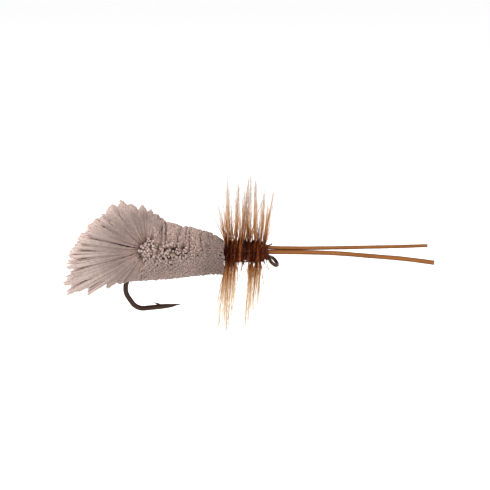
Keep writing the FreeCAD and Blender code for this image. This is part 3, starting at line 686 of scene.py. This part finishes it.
def fan_layer(lat_deg, jitter, count, seed, gain=1.0, K=9, sides=6):
    """One sheet of the fan: hairs from the thread out to the rim, bunched in locks at both ends."""
    r = rng(seed)
    lat = np.radians(lat_deg + jitter * r.uniform(-1, 1, count))
    phi = 58.0 + (262.0 - 58.0) * (np.arange(count) + 0.5) / count + r.normal(0, 0.7, count)
    edge = abs(lat_deg) / 70.0
    # away from the middle each sheet has its own, slightly different, rim
    slip = 0.35 * math.sin(lat_deg * 1.7) * edge
    rim = RIM[:, 1] - 0.75 * (RIM[:, 2] < 0.5) * np.clip((RIM[:, 1] - 3.6) / 2.6, 0, 1) ** 1.3 * 1.15 + 0.04
    L = np.interp(phi + slip, RIM[:, 0], rim)
    peak = np.interp(phi, RIM[:, 0], RIM[:, 2])
    L = L * (1 - (0.035 + 0.32 * smooth1((84.0 - phi) / 26.0)) * r.random(count) ** 1.5) * (1 - 0.05 * edge ** 2 * (0.3 + 0.7 * r.random(count))) + 0.16 * peak * np.clip(L / 7.0, 0, 1)
    near = LOCK_PHI[np.abs(phi[:, None] - LOCK_PHI[None]).argmin(1)]
    # sub-locks give the streaks near the root
    sub = np.round(phi / 4.3) * 4.3 + 0.9 * np.sin(np.round(phi / 4.3) * 2.7 + lat_deg)
    s = np.linspace(0, 1, K)[None]
    dist = s * L[:, None]
    pull_root = 0.42 * np.exp(-(dist / 2.4) ** 2)
    pull_tip = 0.25 * smooth1((s - 0.50) / 0.50) * smooth1((phi[:, None] - 98.0) / 30.0)
    ph = phi[:, None] + pull_root * (sub - phi)[:, None] + pull_tip * (near - phi)[:, None] + r.normal(0, 0.35, (count, 1)) * s
    ph = np.radians(ph)
    wide = (3.35 * np.sin(lat))[:, None]
    ridge = 0.07 * np.sin(sub * 1.3 + lat_deg)[:, None] * np.exp(-(dist / 3.5) ** 2)
    Y = wide * (0.20 + 0.80 * (1 - np.exp(-(dist + 0.15) / 1.15))) * (1 - 0.10 * s ** 2) + ridge + r.normal(0, 0.016, (count, 1))
    start = 0.10
    # over the back the sheets close in on the body's round outline
    high = ROOT[2] + (start + dist) * np.sin(ph)
    rnd = np.sqrt(np.clip(1 - ((high - 1.25) / 3.50) ** 2, 0.10, 1))
    wq = smooth1((128.0 - phi[:, None]) / 42.0)
    Y = Y * ((1 - wq) + wq * np.minimum(rnd, 0.97))
    p = np.stack([ROOT[0] + (start + dist) * np.cos(ph), Y, high], -1)
    w = np.minimum(0.136, 0.054 + 0.025 * dist)
    w = w * (0.85 + 0.3 * r.random((count, 1)))
    taper = r.random(count) < 0.55
    w[:, -1] *= np.where(taper, 0.50, 0.80)
    w[:, -2] *= np.where(taper, 0.85, 1.0)
    # colour: darker towards the root, pale at the ends, and painted shade darkening the partings between locks near the
    # root
    off = np.abs(phi - sub) / 2.15
    mid = np.exp(-((phi - 180.0) / 20.0) ** 2)
    dark = np.where(np.sin(np.round(phi / 4.3) * 7.1 + 0.06 * lat_deg) > 0.25, 0.40 + 0.34 * mid, 0.08 + 0.10 * mid)
    parting_shade = (1 - (dark * off ** 3)[:, None] * np.exp(-(dist / (3.2 + 1.0 * mid[:, None])) ** 3))
    mixr = smooth1(dist / 3.0)[..., None]
    mixo = smooth1((dist - 2.6) / 4.6)[..., None]
    c = (HAIR_DARK * 1.38) * (1 - mixr) + HAIR_MID * 0.62 * mixr
    c = c * (1 - mixo) + HAIR_PALE * 0.88 * mixo
    lock_gain = 1 + 0.05 * np.sin(near * 3.7 + lat_deg)
    c = c * (1 + 0.14 * smooth1((s - 0.86) / 0.14))[..., None]
    c = c * (parting_shade * (1 + 0.026 * r.normal(size=(count, 1))) * lock_gain[:, None] * gain)[..., None]
    v = strands(p, w, c.clip(0, 0.95), sides=sides, cap_col=(HAIR_CUT[None] * (1.04 + 0.05 * r.normal(size=(count, 1)))).clip(0, 0.95), cap_bulge=0.5, roll=r.random(count) * 6.28, flat=0.85)
    return v


def fan():
    outer = {66: (0.5, 230), 63: (0.7, 230), 59: (2.0, 230), 51: (6.5, 320)}
    for key, side in (("rear_hair_fan_near", -1), ("rear_hair_fan_middle", 0), ("rear_hair_fan_far", 1)):
        # painted light: the deeper sheets get a higher gain, up to 1.18 on the sides and 1.22 in the middle, to lift
        # the shade they lie in under the outer sheets
        if side:
            parts = [fan_layer(side * l, j, n, 700 + side * l, gain=1.0 + 0.012 * (66 - l)) for l, (j, n) in outer.items()]
        else:
            parts = [fan_layer(l, 7.5, 290, 700 + l, gain=1.22, K=7, sides=5) for l in (-35, -21, -7, 7, 21, 35)]
        if key != "rear_hair_fan_middle":
            sgn = -1.0 if key.endswith("near") else 1.0
            r = rng(77 if sgn < 0 else 78)
            # coarse cut ends over the tie-in, which face straight out sideways
            gx, gz = np.meshgrid(np.arange(-13.75, -11.95, 0.292), np.arange(-0.35, 3.1, 0.254))
            gx = gx + 0.12 * (np.arange(gx.shape[0]) % 2)[:, None]
            px = gx.ravel() + r.normal(0, 0.045, gx.size); pz = gz.ravel() + r.normal(0, 0.045, gx.size)
            inside = ((px + 12.35) / 1.22) ** 2 + ((pz - 1.38) / 1.42) ** 2 < 1.0 + 0.12 * r.normal(size=px.size)
            keep = inside & (px < -12.02) & (r.random(px.size) < 0.93)
            px, pz = px[keep], pz[keep]
            n = len(px)
            reach = 2.78 + 0.05 * r.normal(size=n) + 0.10 * (px + 13.5) - 0.10 * (pz - 1.4) ** 2
            K = 5
            t = np.linspace(0, 1, K)[None, :, None]
            root = np.stack([-12.75 + 0.45 * (px + 12.75), np.full(n, sgn * 0.5), 1.1 + 0.5 * (pz - 1.1)], 1)
            tip = np.stack([px, sgn * reach, pz], 1)
            ctrl = root * 0.4 + tip * 0.6
            ctrl[:, [0, 2]] = tip[:, [0, 2]] * 0.9 + root[:, [0, 2]] * 0.1
            p = (1 - t) ** 2 * root[:, None] + 2 * t * (1 - t) * ctrl[:, None] + t ** 2 * tip[:, None]
            shade = (1 + 0.07 * r.normal(size=n))
            # a solid core behind the cut ends, its colour darkened as painted shade where it shows in the gaps between
            # them
            bp = np.array([[-12.42, sgn * 0.6, 1.30], [-12.42, sgn * 1.8, 1.34], [-12.42, sgn * 2.50, 1.36]])
            parts.append(strands(bp[None], np.array([[0.7, 1.02, 1.06]]), np.tile(HAIR_DARK * 0.80, (1, 3, 1)), sides=44, cap_bulge=0.10, base_cap=True))
            c = (HAIR_DARK * 0.85 * (1 - t) + HAIR_MID * t) * shade[:, None, None]
            parts.append(fibres(p, 0.124 + 0.040 * r.random(n), [0.8, 0.9, 1, 1, 1], c, r, HAIR_CUT[None] * 1.03 * shade[:, None], sides=8))
            # the belly behind the last bundle, up to the crease where the fan begins
            def belly(x, a, u, sgn=sgn):
                z = SHANK_Z + outline_radius(x, a) * np.cos(a)
                side_ok = np.sin(a) * -sgn > -0.02
                return (np.cos(a) < 0.12) & side_ok & (x > -12.56 - (0.64 - z) * 0.78 + 0.15 * (u - 0.5)) & (z < 0.75)
            x, a = cover(-14.6, -12.05, 0.112, r, belly)
            parts.append(spun(x, a, -12.3, r, 0.062, 0.080, 3, 0.50, 0.022, 0.98, 0.0))
        v, q, t3, c, al = join(parts)
        ob = mesh_object(key, v, q, t3, c, al, mats=[HAIR])
        finish_piece(ob, FLY, "deer_hair", "rear_hair_fan")


fan()

# ------------------------------------------------------------------ hackle
BARB_ROOT = lin(108, 52, 24)
BARB_LOW = lin(154, 97, 52)
BARB_MID = lin(194, 149, 102)
BARB_TIP = lin(200, 186, 179)
BARB_STRAW = lin(216, 192, 164)
STEM_DARK = lin(46, 7, 1)
STEM_LIGHT = lin(176, 96, 48)
TAPER = (0.85 - 0.76) / (-1.15 + 5.00)


def head_radius(x):
    return 0.85 - TAPER * (np.asarray(x) + 5.00)


STRIPES = [(-4.30, 0.05, 0.10), (-3.93, 0.06, 0.55), (-3.38, 0.15, 0.62), (-2.44, 0.06, 1.0), (-1.98, 0.05, 0.20), (-1.54, 0.10, 0.70), (-1.12, 0.09, 0.42)]


def stripe(x):
    s = np.zeros_like(x)
    for c, w, k in STRIPES:
        s = np.maximum(s, k * np.exp(-((x - c) / w) ** 2))
    return s


def wound_stem(name, x0, turns, pitch, cad_node, seed):
    """The feather's stem wound on the head: a left-handed spiral."""
    K = int(turns * 40)
    t = np.linspace(0, 1, K)
    x = x0 + pitch * turns * t
    rad = head_radius(x) + 0.13 + 0.02
    a = 2 * math.pi * turns * t
    p = np.stack([x, np.sin(a) * rad, SHANK_Z + np.cos(a) * rad], 1)
    rr = 0.140 * (1 + 0.05 * np.sin(t * 60 + seed)) * np.ones(K)
    rr[:3] *= [0.5, 0.8, 0.95]
    rr[-3:] *= [0.95, 0.8, 0.5]
    k = (0.02 + 0.98 * stripe(x - 0.10 * np.cos(a)))[:, None]
    c = STEM_DARK[None] * (1 - k) + STEM_LIGHT[None] * k
    v, q, t3, cv, al = strands(p[None], rr[None], c[None], sides=14, cap_bulge=0.5, base_cap=True)
    ob = mesh_object(name, v, q, t3, cv, al, mats=[STEM])
    return finish_piece(ob, FLY, "hackle_stem", cad_node)


wound_stem("hackle_stem_rear_wound", -4.82, 5.75, 0.30, "hackle_quill_rear", 1)
wound_stem("hackle_stem_front_wound", -2.76, 5.75, 0.30, "hackle_quill_front", 2)


def hackle(name, cad_node, clumps, lines, threads, x_from, x_to, seed):
    """Barbs: they cling in clumps that fan out of the stem, brown at the root and pale towards a hair-thin tip."""
    r = rng(seed)
    parts = []

    def barb(base, tip, bow, thick, shade, K=10, pale=0.0, plain_col=None, soon=1.0):
        n = len(base)
        mid = (base + tip) / 2 + bow
        t = np.linspace(0, 1, K)[None, :, None]
        p = (1 - t) ** 2 * base[:, None] + 2 * t * (1 - t) * mid[:, None] + t ** 2 * tip[:, None]
        tt = np.linspace(0, 1, K)
        prof = np.interp(tt, [0, 0.12, 0.40, 0.70, 1.0], [1.0, 0.95, 0.78 * soon ** 0.5, 0.60 * soon ** 0.6, 0.33 * soon ** 0.6])[None] * thick[:, None]
        prof = np.maximum(prof, 0.0105)
        stops = [0.0, 0.09 * soon, 0.27 * soon, 0.57 * soon, 0.80 * soon]
        cols = np.array([BARB_ROOT * 0.85, BARB_ROOT, BARB_LOW, BARB_MID, BARB_TIP if soon >= 1.0 else BARB_STRAW])
        c = np.stack([np.interp(tt, stops, cols[:, i]) for i in range(3)], -1)[None]
        c = c * (1 - pale) + BARB_TIP * pale
        if plain_col is not None:
            c = np.broadcast_to(plain_col, c.shape)
        c = np.repeat(c, n, 0) * shade[:, None, None]
        parts.append(strands(p, prof, c.clip(0, 0.95), sides=5, cap_bulge=0.5))

    # clumps: where it leaves the head and where it ends, in the side view (x, z mm), half widths there,
    # how many barbs, and how far round the shank they are spread (degrees)
    for bx, tx, tz, bw, tw, n, sp in clumps:
        n = int(n * (1.25 if tz > SHANK_Z else 1.45))
        up = 1.0 if tz > SHANK_Z else -1.0
        th = r.normal(0, math.radians(sp) * 2.5, n)
        th = np.clip(th, -1.15, 1.15)
        x0 = bx + 0.75 * bw * r.uniform(-1, 1, n)
        R0 = head_radius(x0) + 0.06
        cth, sth = np.cos(th), np.sin(th)
        base = np.stack([x0, -sth * R0, SHANK_Z + up * cth * R0], 1)
        full = abs(tz - SHANK_Z)
        # most barbs of a clump fall short of its longest ones
        full = full + (0.10 if up > 0 else 0.35)
        L = full * (1.04 - 0.36 * r.random(n) ** 1.3)
        k = (L - R0) / (full - R0)
        xt = bx + (tx - bx) * k + tw * r.normal(0, 0.85, n) * (0.3 + 0.8 * k) + (x0 - bx) * 0.6
        tip = np.stack([xt, -sth * L, SHANK_Z + up * cth * L], 1)
        bow = np.zeros((n, 3))
        bow[:, 0] = 0.05 * r.normal(size=n) * full * 0.35 + 0.03 * (tx - bx)
        bow[:, 1] = 0.02 * r.normal(size=n) * full
        barb(base, tip, bow, (0.0240 if up > 0 else 0.0230) * (0.70 + 0.55 * r.random(n)), 1 + 0.10 * r.normal(size=n), soon=1.0 if up > 0 else 0.74)
    # the strongest barbs of each clump, dark nearly to the tip
    for bx, tx, tz in lines:
        n = 5
        up = 1.0 if tz > SHANK_Z else -1.0
        x0 = bx + 0.05 * r.normal(size=n)
        y0 = -0.35 + 0.25 * r.normal(size=n)
        f = 1 - 0.22 * np.arange(n) / n
        base = np.stack([x0, y0 * 0.6, np.full(n, SHANK_Z + up * 0.80)], 1)
        tip = np.stack([bx + (tx - bx) * f + 0.07 * r.normal(size=n), y0 * 1.5, SHANK_Z + (tz - SHANK_Z) * f], 1)
        bow = np.zeros((n, 3)); bow[:, 0] = 0.10 * r.normal(size=n) + 0.06 * (tx - bx)
        barb(base, tip, bow, 0.034 * (0.85 + 0.3 * r.random(n)), 0.80 + 0.06 * r.normal(size=n), soon=1.15)
    # single barbs on their own
    for bx, bz, tx, tz, y, w, pale in threads:
        base = np.array([[bx, y * 0.4, bz]]); tip = np.array([[tx, y, tz]])
        barb(base, tip, np.array([[0.12 * math.copysign(1, tx - bx), 0, 0]]), np.array([w]), np.array([1.0]), pale=pale)
    # those that stand out on the far side and a few on the near side, all round the shank
    n = 90
    f = (np.arange(n) + 0.5) / n
    x = x_from + (x_to - x_from) * f
    near = np.arange(n) % 9 == 4
    th = np.where(near, math.pi / 2 + r.normal(0, 0.30, n), -math.pi / 2 + r.normal(0, 0.42, n))
    L = np.where(near, 2.6 + 3.0 * r.random(n), 5.6 + 2.2 * r.random(n))
    lean = np.radians(r.normal(-4 + 9 * (seed == 43), 5.0, n))
    d = np.stack([np.sin(lean), -np.sin(th) * np.cos(lean), np.cos(th) * np.cos(lean)], 1)
    base = np.stack([x, -np.sin(th) * (head_radius(x) + 0.1), SHANK_Z + np.cos(th) * (head_radius(x) + 0.1)], 1)
    keep = ~near
    # the few on the near side stand almost straight out, so from the side they are short dark strokes
    m = 14
    xn = x_from + (x_to - x_from) * (np.arange(m) + 0.5) / m
    tn = math.pi / 2 + np.linspace(-0.30, 0.34, m)[r.permutation(m)]
    Ln = 5.8 + 1.5 * r.random(m)
    ln = np.radians(r.normal(0, 5.0, m))
    dn = np.stack([np.sin(ln), -np.sin(tn) * np.cos(ln), np.cos(tn) * np.cos(ln)], 1)
    bn = np.stack([xn, -np.sin(tn) * (head_radius(xn) + 0.1), SHANK_Z + np.cos(tn) * (head_radius(xn) + 0.1)], 1)
    barb(bn, bn + dn * Ln[:, None], 0.10 * r.normal(size=(m, 3)), 0.024 * (0.75 + 0.5 * r.random(m)), 0.60 + 0.2 * r.random(m), plain_col=lin(84, 34, 16))
    barb(base[keep], (base + d * L[:, None])[keep], 0.03 * r.normal(size=(keep.sum(), 3)) * 5, 0.038 * (0.75 + 0.5 * r.random(keep.sum())), 1 + 0.1 * r.normal(size=keep.sum()))
    # webby down close to the stem, short and dark, which makes the collar's core look solid
    n = 900
    x = x_from - 0.14 * (seed == 41) + (x_to - x_from) * r.random(n)
    a = r.random(n) * 6.28318
    lean = np.radians(r.normal(0, 9, n))
    reach = (0.10 + 0.34 * r.random(n) ** 2.0) * (0.75 + 0.5 * np.sin(x * 6.1 + 1.0) ** 2)
    out = np.stack([np.zeros(n), -np.sin(a), np.cos(a)], 1)
    tang = np.stack([np.zeros(n), -np.cos(a), -np.sin(a)], 1)
    rootr = head_radius(x) + 0.22
    base = np.stack([x, np.zeros(n), np.full(n, SHANK_Z)], 1) + out * rootr[:, None]
    # they lie over along the wraps, round the shank
    d = unit(out * 0.45 + tang * r.choice([-1.0, 1.0], n)[:, None] + np.array([1.0, 0, 0])[None] * np.sin(lean)[:, None])
    K = 4
    t = np.linspace(0, 1, K)[None, :, None]
    p = base[:, None] + d[:, None] * reach[:, None, None] * t * 1.4
    prof = np.linspace(1.0, 0.4, K)[None] * (0.030 * (0.7 + 0.6 * r.random(n)))[:, None]
    kk = (0.02 + 0.95 * stripe(x - 0.10 * np.cos(a)))[:, None, None]
    c = STEM_DARK * (1 - kk) + STEM_LIGHT * kk
    c = np.repeat(c, K, 1) * (1 + 0.2 * r.normal(size=(n, 1, 1))).clip(0.5, 1.5)
    parts.append(strands(p, prof, c.clip(0, 0.95), sides=5, cap_bulge=0.5))
    v, q, t3, c, al = join(parts)
    ob = mesh_object(name, v, q, t3, c, al, mats=[BARB])
    return finish_piece(ob, FLY, "hackle_barb", cad_node)


rear_clumps = [
    # base x, tip x, tip z, half width at base, at tip, barbs, spread
    (-4.62, -4.66, 8.6, 0.13, 0.22, 34, 10), (-4.60, -4.60, 9.4, 0.08, 0.20, 8, 10), (-4.50, -4.20, 9.7, 0.06, 0.10, 3, 8), (-4.78, -6.2, 7.9, 0.08, 0.35, 8, 12), (-4.70, -5.5, 8.6, 0.10, 0.30, 9, 12), (-4.40, -4.35, 6.0, 0.20, 0.30, 10, 12),
    (-3.86, -3.62, 8.0, 0.10, 0.14, 24, 9), (-3.80, -3.35, 9.0, 0.06, 0.18, 7, 9), (-4.15, -4.0, 4.6, 0.14, 0.2, 9, 14),
    (-3.22, -2.72, 8.0, 0.13, 0.22, 30, 9), (-3.10, -2.25, 9.4, 0.08, 0.22, 9, 9), (-3.35, -3.10, 5.6, 0.12, 0.14, 12, 10),
    (-4.62, -5.10, -7.4, 0.24, 0.62, 34, 9), (-4.60, -4.85, -8.5, 0.12, 0.30, 9, 9), (-4.80, -5.95, -7.6, 0.08, 0.42, 14, 10), (-4.25, -4.55, -6.2, 0.24, 0.46, 26, 10), (-3.90, -4.15, -5.6, 0.10, 0.14, 14, 9), (-3.80, -3.95, -3.4, 0.08, 0.08, 6, 10),
]
rear_lines = [(-4.70, -4.66, 9.3), (-3.90, -3.45, 9.0), (-3.45, -2.40, 9.5), (-3.15, -2.45, 9.2), (-4.75, -5.77, -7.7), (-4.55, -4.82, -8.7), (-4.25, -4.60, -7.2), (-3.90, -4.20, -6.2)]
rear_threads = [
    (-3.48, 0.35, -3.66, -2.2, -0.75, 0.045, 0.12), (-2.84, 0.40, -4.10, -3.6, -0.80, 0.040, 0.12),
    (-4.85, 2.0, -7.3, 7.9, -0.6, 0.022, 0.5), (-4.85, 2.0, -6.5, 8.4, 0.5, 0.022, 0.45), (-4.80, 1.9, -6.9, 6.8, -0.3, 0.022, 0.45),
]
front_clumps = [
    (-2.42, -2.36, 8.2, 0.08, 0.12, 26, 9), (-2.42, -2.30, 9.2, 0.06, 0.14, 6, 9), (-2.60, -2.85, 6.8, 0.10, 0.16, 10, 10),
    (-1.84, -1.72, 8.0, 0.10, 0.13, 28, 9), (-1.84, -1.85, 9.2, 0.06, 0.14, 8, 9),
    (-1.34, -1.05, 7.0, 0.13, 0.16, 20, 9), (-1.30, -0.80, 8.3, 0.08, 0.14, 6, 9), (-1.55, -1.45, 4.4, 0.08, 0.12, 8, 10),
    (-0.98, -0.30, 6.8, 0.10, 0.16, 16, 9), (-0.95, 0.10, 8.4, 0.06, 0.16, 6, 9), (-0.86, 0.26, 7.8, 0.05, 0.10, 4, 9),
    (-2.20, -2.62, -6.4, 0.18, 0.30, 30, 8), (-2.10, -2.85, -7.7, 0.10, 0.18, 12, 8), (-1.70, -2.15, -5.6, 0.22, 0.30, 26, 9), (-1.30, -1.70, -4.6, 0.10, 0.14, 12, 9), (-2.48, -2.56, -4.4, 0.06, 0.08, 12, 9),
]
front_lines = [(-2.42, -2.30, 9.5), (-1.84, -1.87, 9.2), (-1.40, -0.85, 8.0), (-1.02, 0.20, 8.1), (-2.25, -3.00, -7.8), (-2.10, -2.75, -7.0), (-1.62, -2.10, -5.9), (-1.30, -1.58, -4.7)]
front_threads = [
    (-1.05, 0.0, 1.75, -4.5, -0.4, 0.020, 0.50), (-1.10, -0.1, 0.15, -4.9, 0.5, 0.020, 0.50), (-1.0, 0.1, 0.55, -3.3, 0.9, 0.020, 0.50),
]
hackle("hackle_barbs_rear_wound", "hackle_barbs_rear", rear_clumps, rear_lines, rear_threads, -4.88, -3.02, 41)
hackle("hackle_barbs_front_wound", "hackle_barbs_front", front_clumps, front_lines, front_threads, -3.10, -0.90, 43)

# ------------------------------------------------------------------ head, antennae
QUILL_MID = lin(130, 83, 43)
# the darker quill colour: painted shade on the top and bottom of each stem, and its darker streaks
QUILL_STREAK_AND_SHADE = lin(94, 50, 21)
QUILL_PITH = lin(196, 164, 130)


def quill(name, pts, r0, r1, cad_node, body, seed, roll=0.0):
    """A stripped stem: smooth, faintly ridged along its length, cut square at the end."""
    pts = np.asarray(pts, float)
    d = np.concatenate([[0], np.cumsum(np.linalg.norm(np.diff(pts, axis=0), axis=1))])
    K = 150
    s = np.linspace(0, d[-1], K)
    p = np.stack([np.interp(s, d, pts[:, i]) for i in range(3)], 1)
    for _ in range(60):
        p[1:-1] = (p[:-2] + 2 * p[1:-1] + p[2:]) / 4
    r = rng(seed)
    rad = r0 + (r1 - r0) * s / s[-1]
    rad = rad * (1 + 0.018 * np.sin(s * 2.1 + seed) + 0.01 * np.sin(s * 7.3 + 2 * seed))
    rad[0] *= 0.6
    sides = 28
    tang = unit(np.gradient(p, axis=0))
    ref = np.array([0.0, 1.0, 0.0])
    up = unit(np.cross(tang, ref))
    up = np.where(up[:, 2:3] < 0, -up, up)
    side = np.cross(up, tang)
    th = np.arange(sides) * 2 * math.pi / sides
    prof = 1 + 0.035 * np.cos(2 * (th + roll)) + 0.018 * np.cos(5 * th + 1.0) - 0.05 * np.exp(-((th - 3.9) / 0.22) ** 2)
    ring = p[:, None] + (rad[:, None] * prof[None])[..., None] * (np.cos(th)[None, :, None] * side[:, None] + np.sin(th)[None, :, None] * up[:, None])
    v = ring.reshape(-1, 3)
    # painted shade: the top and bottom of the stem are darker and its sides lighter, standing for light passing through
    # the thin horn; streaked along as well
    streak = 0.5 + 0.5 * np.sin(th * 3 + 0.7) * np.cos(th * 7 + 0.2)
    wob = 0.5 + 0.5 * np.sin(s[:, None] * 1.1 + th[None] * 2 + seed)
    k = ((np.cos(th)[None] ** 2) ** 1.2 * 0.85 + 0.10 * streak[None] + 0.10 * wob)[..., None].clip(0, 1)
    c = QUILL_STREAK_AND_SHADE[None, None] * (1 - k) + QUILL_MID[None, None] * k
    c = np.broadcast_to(c, (K, sides, 3)).reshape(-1, 3)
    idx = np.arange(K * sides).reshape(K, sides)
    q = np.stack([idx[:-1], np.roll(idx[:-1], -1, 1), np.roll(idx[1:], -1, 1), idx[1:]], -1).reshape(-1, 4)
    al = np.repeat(s / s[-1], sides)
    # cut end: a rim, a shallow cup of pith
    parts_v, parts_q, parts_t, parts_c, parts_a = [v], [q], [], [c], [al]
    base = len(v)
    e = p[-1]
    rim = e[None] + (rad[-1] * 0.86 * prof)[:, None] * (np.cos(th)[:, None] * side[-1][None] + np.sin(th)[:, None] * up[-1][None]) + tang[-1][None] * 0.02
    cup = e[None] + (rad[-1] * 0.62 * prof)[:, None] * (np.cos(th)[:, None] * side[-1][None] + np.sin(th)[:, None] * up[-1][None]) - tang[-1][None] * 0.012
    parts_v += [rim, cup, (e - tang[-1] * 0.02)[None]]
    parts_c += [np.tile(QUILL_MID, (sides, 1)), np.tile(QUILL_PITH, (sides, 1)), QUILL_PITH[None]]
    parts_a += [np.ones(sides), np.ones(sides), np.ones(1)]
    i_rim = base + np.arange(sides); i_cup = base + sides + np.arange(sides); i_c = base + 2 * sides
    parts_q += [np.stack([idx[-1], np.roll(idx[-1], -1), np.roll(i_rim, -1), i_rim], -1),
                np.stack([i_rim, np.roll(i_rim, -1), np.roll(i_cup, -1), i_cup], -1)]
    parts_t += [np.stack([i_cup, np.roll(i_cup, -1), np.full(sides, i_c)], -1)]
    b2 = base + 2 * sides + 1
    parts_v += [(p[0] - tang[0] * 0.05)[None]]
    parts_c += [QUILL_STREAK_AND_SHADE[None]]
    parts_a += [np.zeros(1)]
    parts_t += [np.stack([np.roll(idx[0], -1), idx[0], np.full(sides, b2)], -1)]
    ob = mesh_object(name, np.concatenate(parts_v), np.concatenate(parts_q), np.concatenate(parts_t), np.concatenate(parts_c), np.concatenate(parts_a), mats=[QUILL])
    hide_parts(cad_node)
    return ob


up_pts = [(-0.62, 0.04, 1.41), (-0.36, 0.05, 1.385), (1.5, 0.05, 1.338), (3.7, 0.07, 1.332), (6.8, 0.11, 1.370), (9.9, 0.17, 1.428), (12.9, 0.25, 1.475), (15.73, 0.35, 1.56)]
lo_pts = [(-0.62, -0.15, 0.98), (-0.36, -0.15, 0.978), (1.5, -0.155, 0.955), (3.2, -0.17, 0.942), (5.0, -0.20, 0.902), (6.8, -0.22, 0.830), (9.86, -0.27, 0.575), (12.9, -0.34, 0.345), (15.3, -0.42, 0.06), (16.38, -0.47, -0.09)]
a_up = quill("antenna_upper_stem", up_pts, 0.208, 0.174, "antenna_upper", "antenna_upper", 3)
a_lo = quill("antenna_lower_stem", lo_pts, 0.238, 0.236, "antenna_lower", "antenna_lower", 5)
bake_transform(a_up)
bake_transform(a_lo)


def whip():
    """The whip finish: turns of fine thread laid side by side, narrowing towards the eye."""
    parts = []
    r = rng(61)
    turns = 7
    for i in range(turns):
        f = i / (turns - 1)
        x = -1.12 + 0.50 * f
        R = 0.745 - 0.03 * f
        K = 48
        a = np.linspace(0, 2 * math.pi, K)
        px = x + 0.035 * np.sin(a + i) + 0.03 * (a / 6.283)
        rr = R + 0.02 * np.sin(3 * a + i)
        cz = SHANK_Z - 0.10 * f
        p = np.stack([px, -np.sin(a) * rr * 0.98, cz + np.cos(a) * rr], 1)
        c = np.tile(lin(70, 26, 14), (1, K, 1)) * (0.8 + 0.5 * r.random())
        parts.append(strands(p[None], np.full((1, K), 0.055), c, sides=10, cap_bulge=0.3, base_cap=True))
    v, q, t3, c, al = join(parts)
    ob = mesh_object("whip_finish_turns", v, q, t3, c, al, mats=[STEM])
    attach(ob, FLY)


whip()
dress("whip_finish", HEAD_THREAD, "head_thread")
dress("antenna_butts", QUILL, "stripped_quill")


def stub():
    p0, p1 = np.array([-0.70, -0.52, 1.58]), np.array([-0.13, -0.60, 1.86])
    K = 9
    t = np.linspace(0, 1, K)
    p = p0[None] + (p1 - p0)[None] * t[:, None]
    p[:, 2] += 0.03 * np.sin(t * 3.1)
    c = np.tile(lin(46, 20, 12), (1, K, 1))
    parts = [strands(p[None], (0.075 - 0.03 * t)[None], c, sides=12, cap_bulge=0.4, base_cap=True)]
    # the stumps of its cut barbs
    r = rng(66)
    n = 14
    f = r.random(n)
    b = p0[None] + (p1 - p0)[None] * f[:, None]
    d = unit(np.stack([0.6 + 0.3 * r.random(n), r.normal(0, 0.5, n), r.normal(0.3, 0.6, n)], 1))
    tt = np.linspace(0, 1, 4)[None, :, None]
    q = b[:, None] + d[:, None] * (0.10 + 0.16 * r.random((n, 1, 1))) * tt
    parts.append(strands(q, np.tile(np.linspace(0.022, 0.010, 4), (n, 1)), np.tile(lin(60, 28, 16), (n, 4, 1)), sides=5))
    v, q, t3, c, al = join(parts)
    ob = mesh_object("hackle_tip_stub_cut", v, q, t3, c, al, mats=[STEM])
    finish_piece(ob, FLY, "hackle_stem", "hackle_tip_stub")


stub()

# ------------------------------------------------------------------ stage and light
def plane(name, size, z, mat):
    me = bpy.data.meshes.new(name)
    s = size / 2
    me.from_pydata([(-s, -s, z), (s, -s, z), (s, s, z), (-s, s, z)], [], [(0, 1, 2, 3)])
    me.materials.append(mat)
    ob = bpy.data.objects.new(name, me)
    bpy.context.scene.collection.objects.link(ob)
    return ob


m, nt, bs = new_material("floor_white")
bs.inputs["Base Color"].default_value = (0.92, 0.92, 0.92, 1)
bs.inputs["Roughness"].default_value = 0.9
bs.inputs["Specular IOR Level"].default_value = 0.1
floor_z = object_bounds()[0][2] - 0.010
floor = plane("floor", 12.0, floor_z, m)

world = bpy.data.worlds.new("studio")
bpy.context.scene.world = world
world.use_nodes = True
world.node_tree.nodes["Background"].inputs["Color"].default_value = (1, 1, 1, 1)
world.node_tree.nodes["Background"].inputs["Strength"].default_value = 1.05


def area(name, loc, size, power, aim=(-0.003, 0, 0.001), colour=(1, 1, 1)):
    d = bpy.data.lights.new(name, "AREA")
    d.energy = power
    d.size = size
    d.color = colour
    o = bpy.data.objects.new(name, d)
    o.location = loc
    v = Vector(aim) - Vector(loc)
    o.rotation_euler = v.to_track_quat("-Z", "Y").to_euler()
    bpy.context.scene.collection.objects.link(o)


area("key", (-0.10, -0.10, 0.35), 0.20, 1.1)
area("fill", (0.15, -0.30, 0.12), 0.24, 0.35)
area("rim", (-0.25, 0.15, 0.10), 0.14, 0.35)
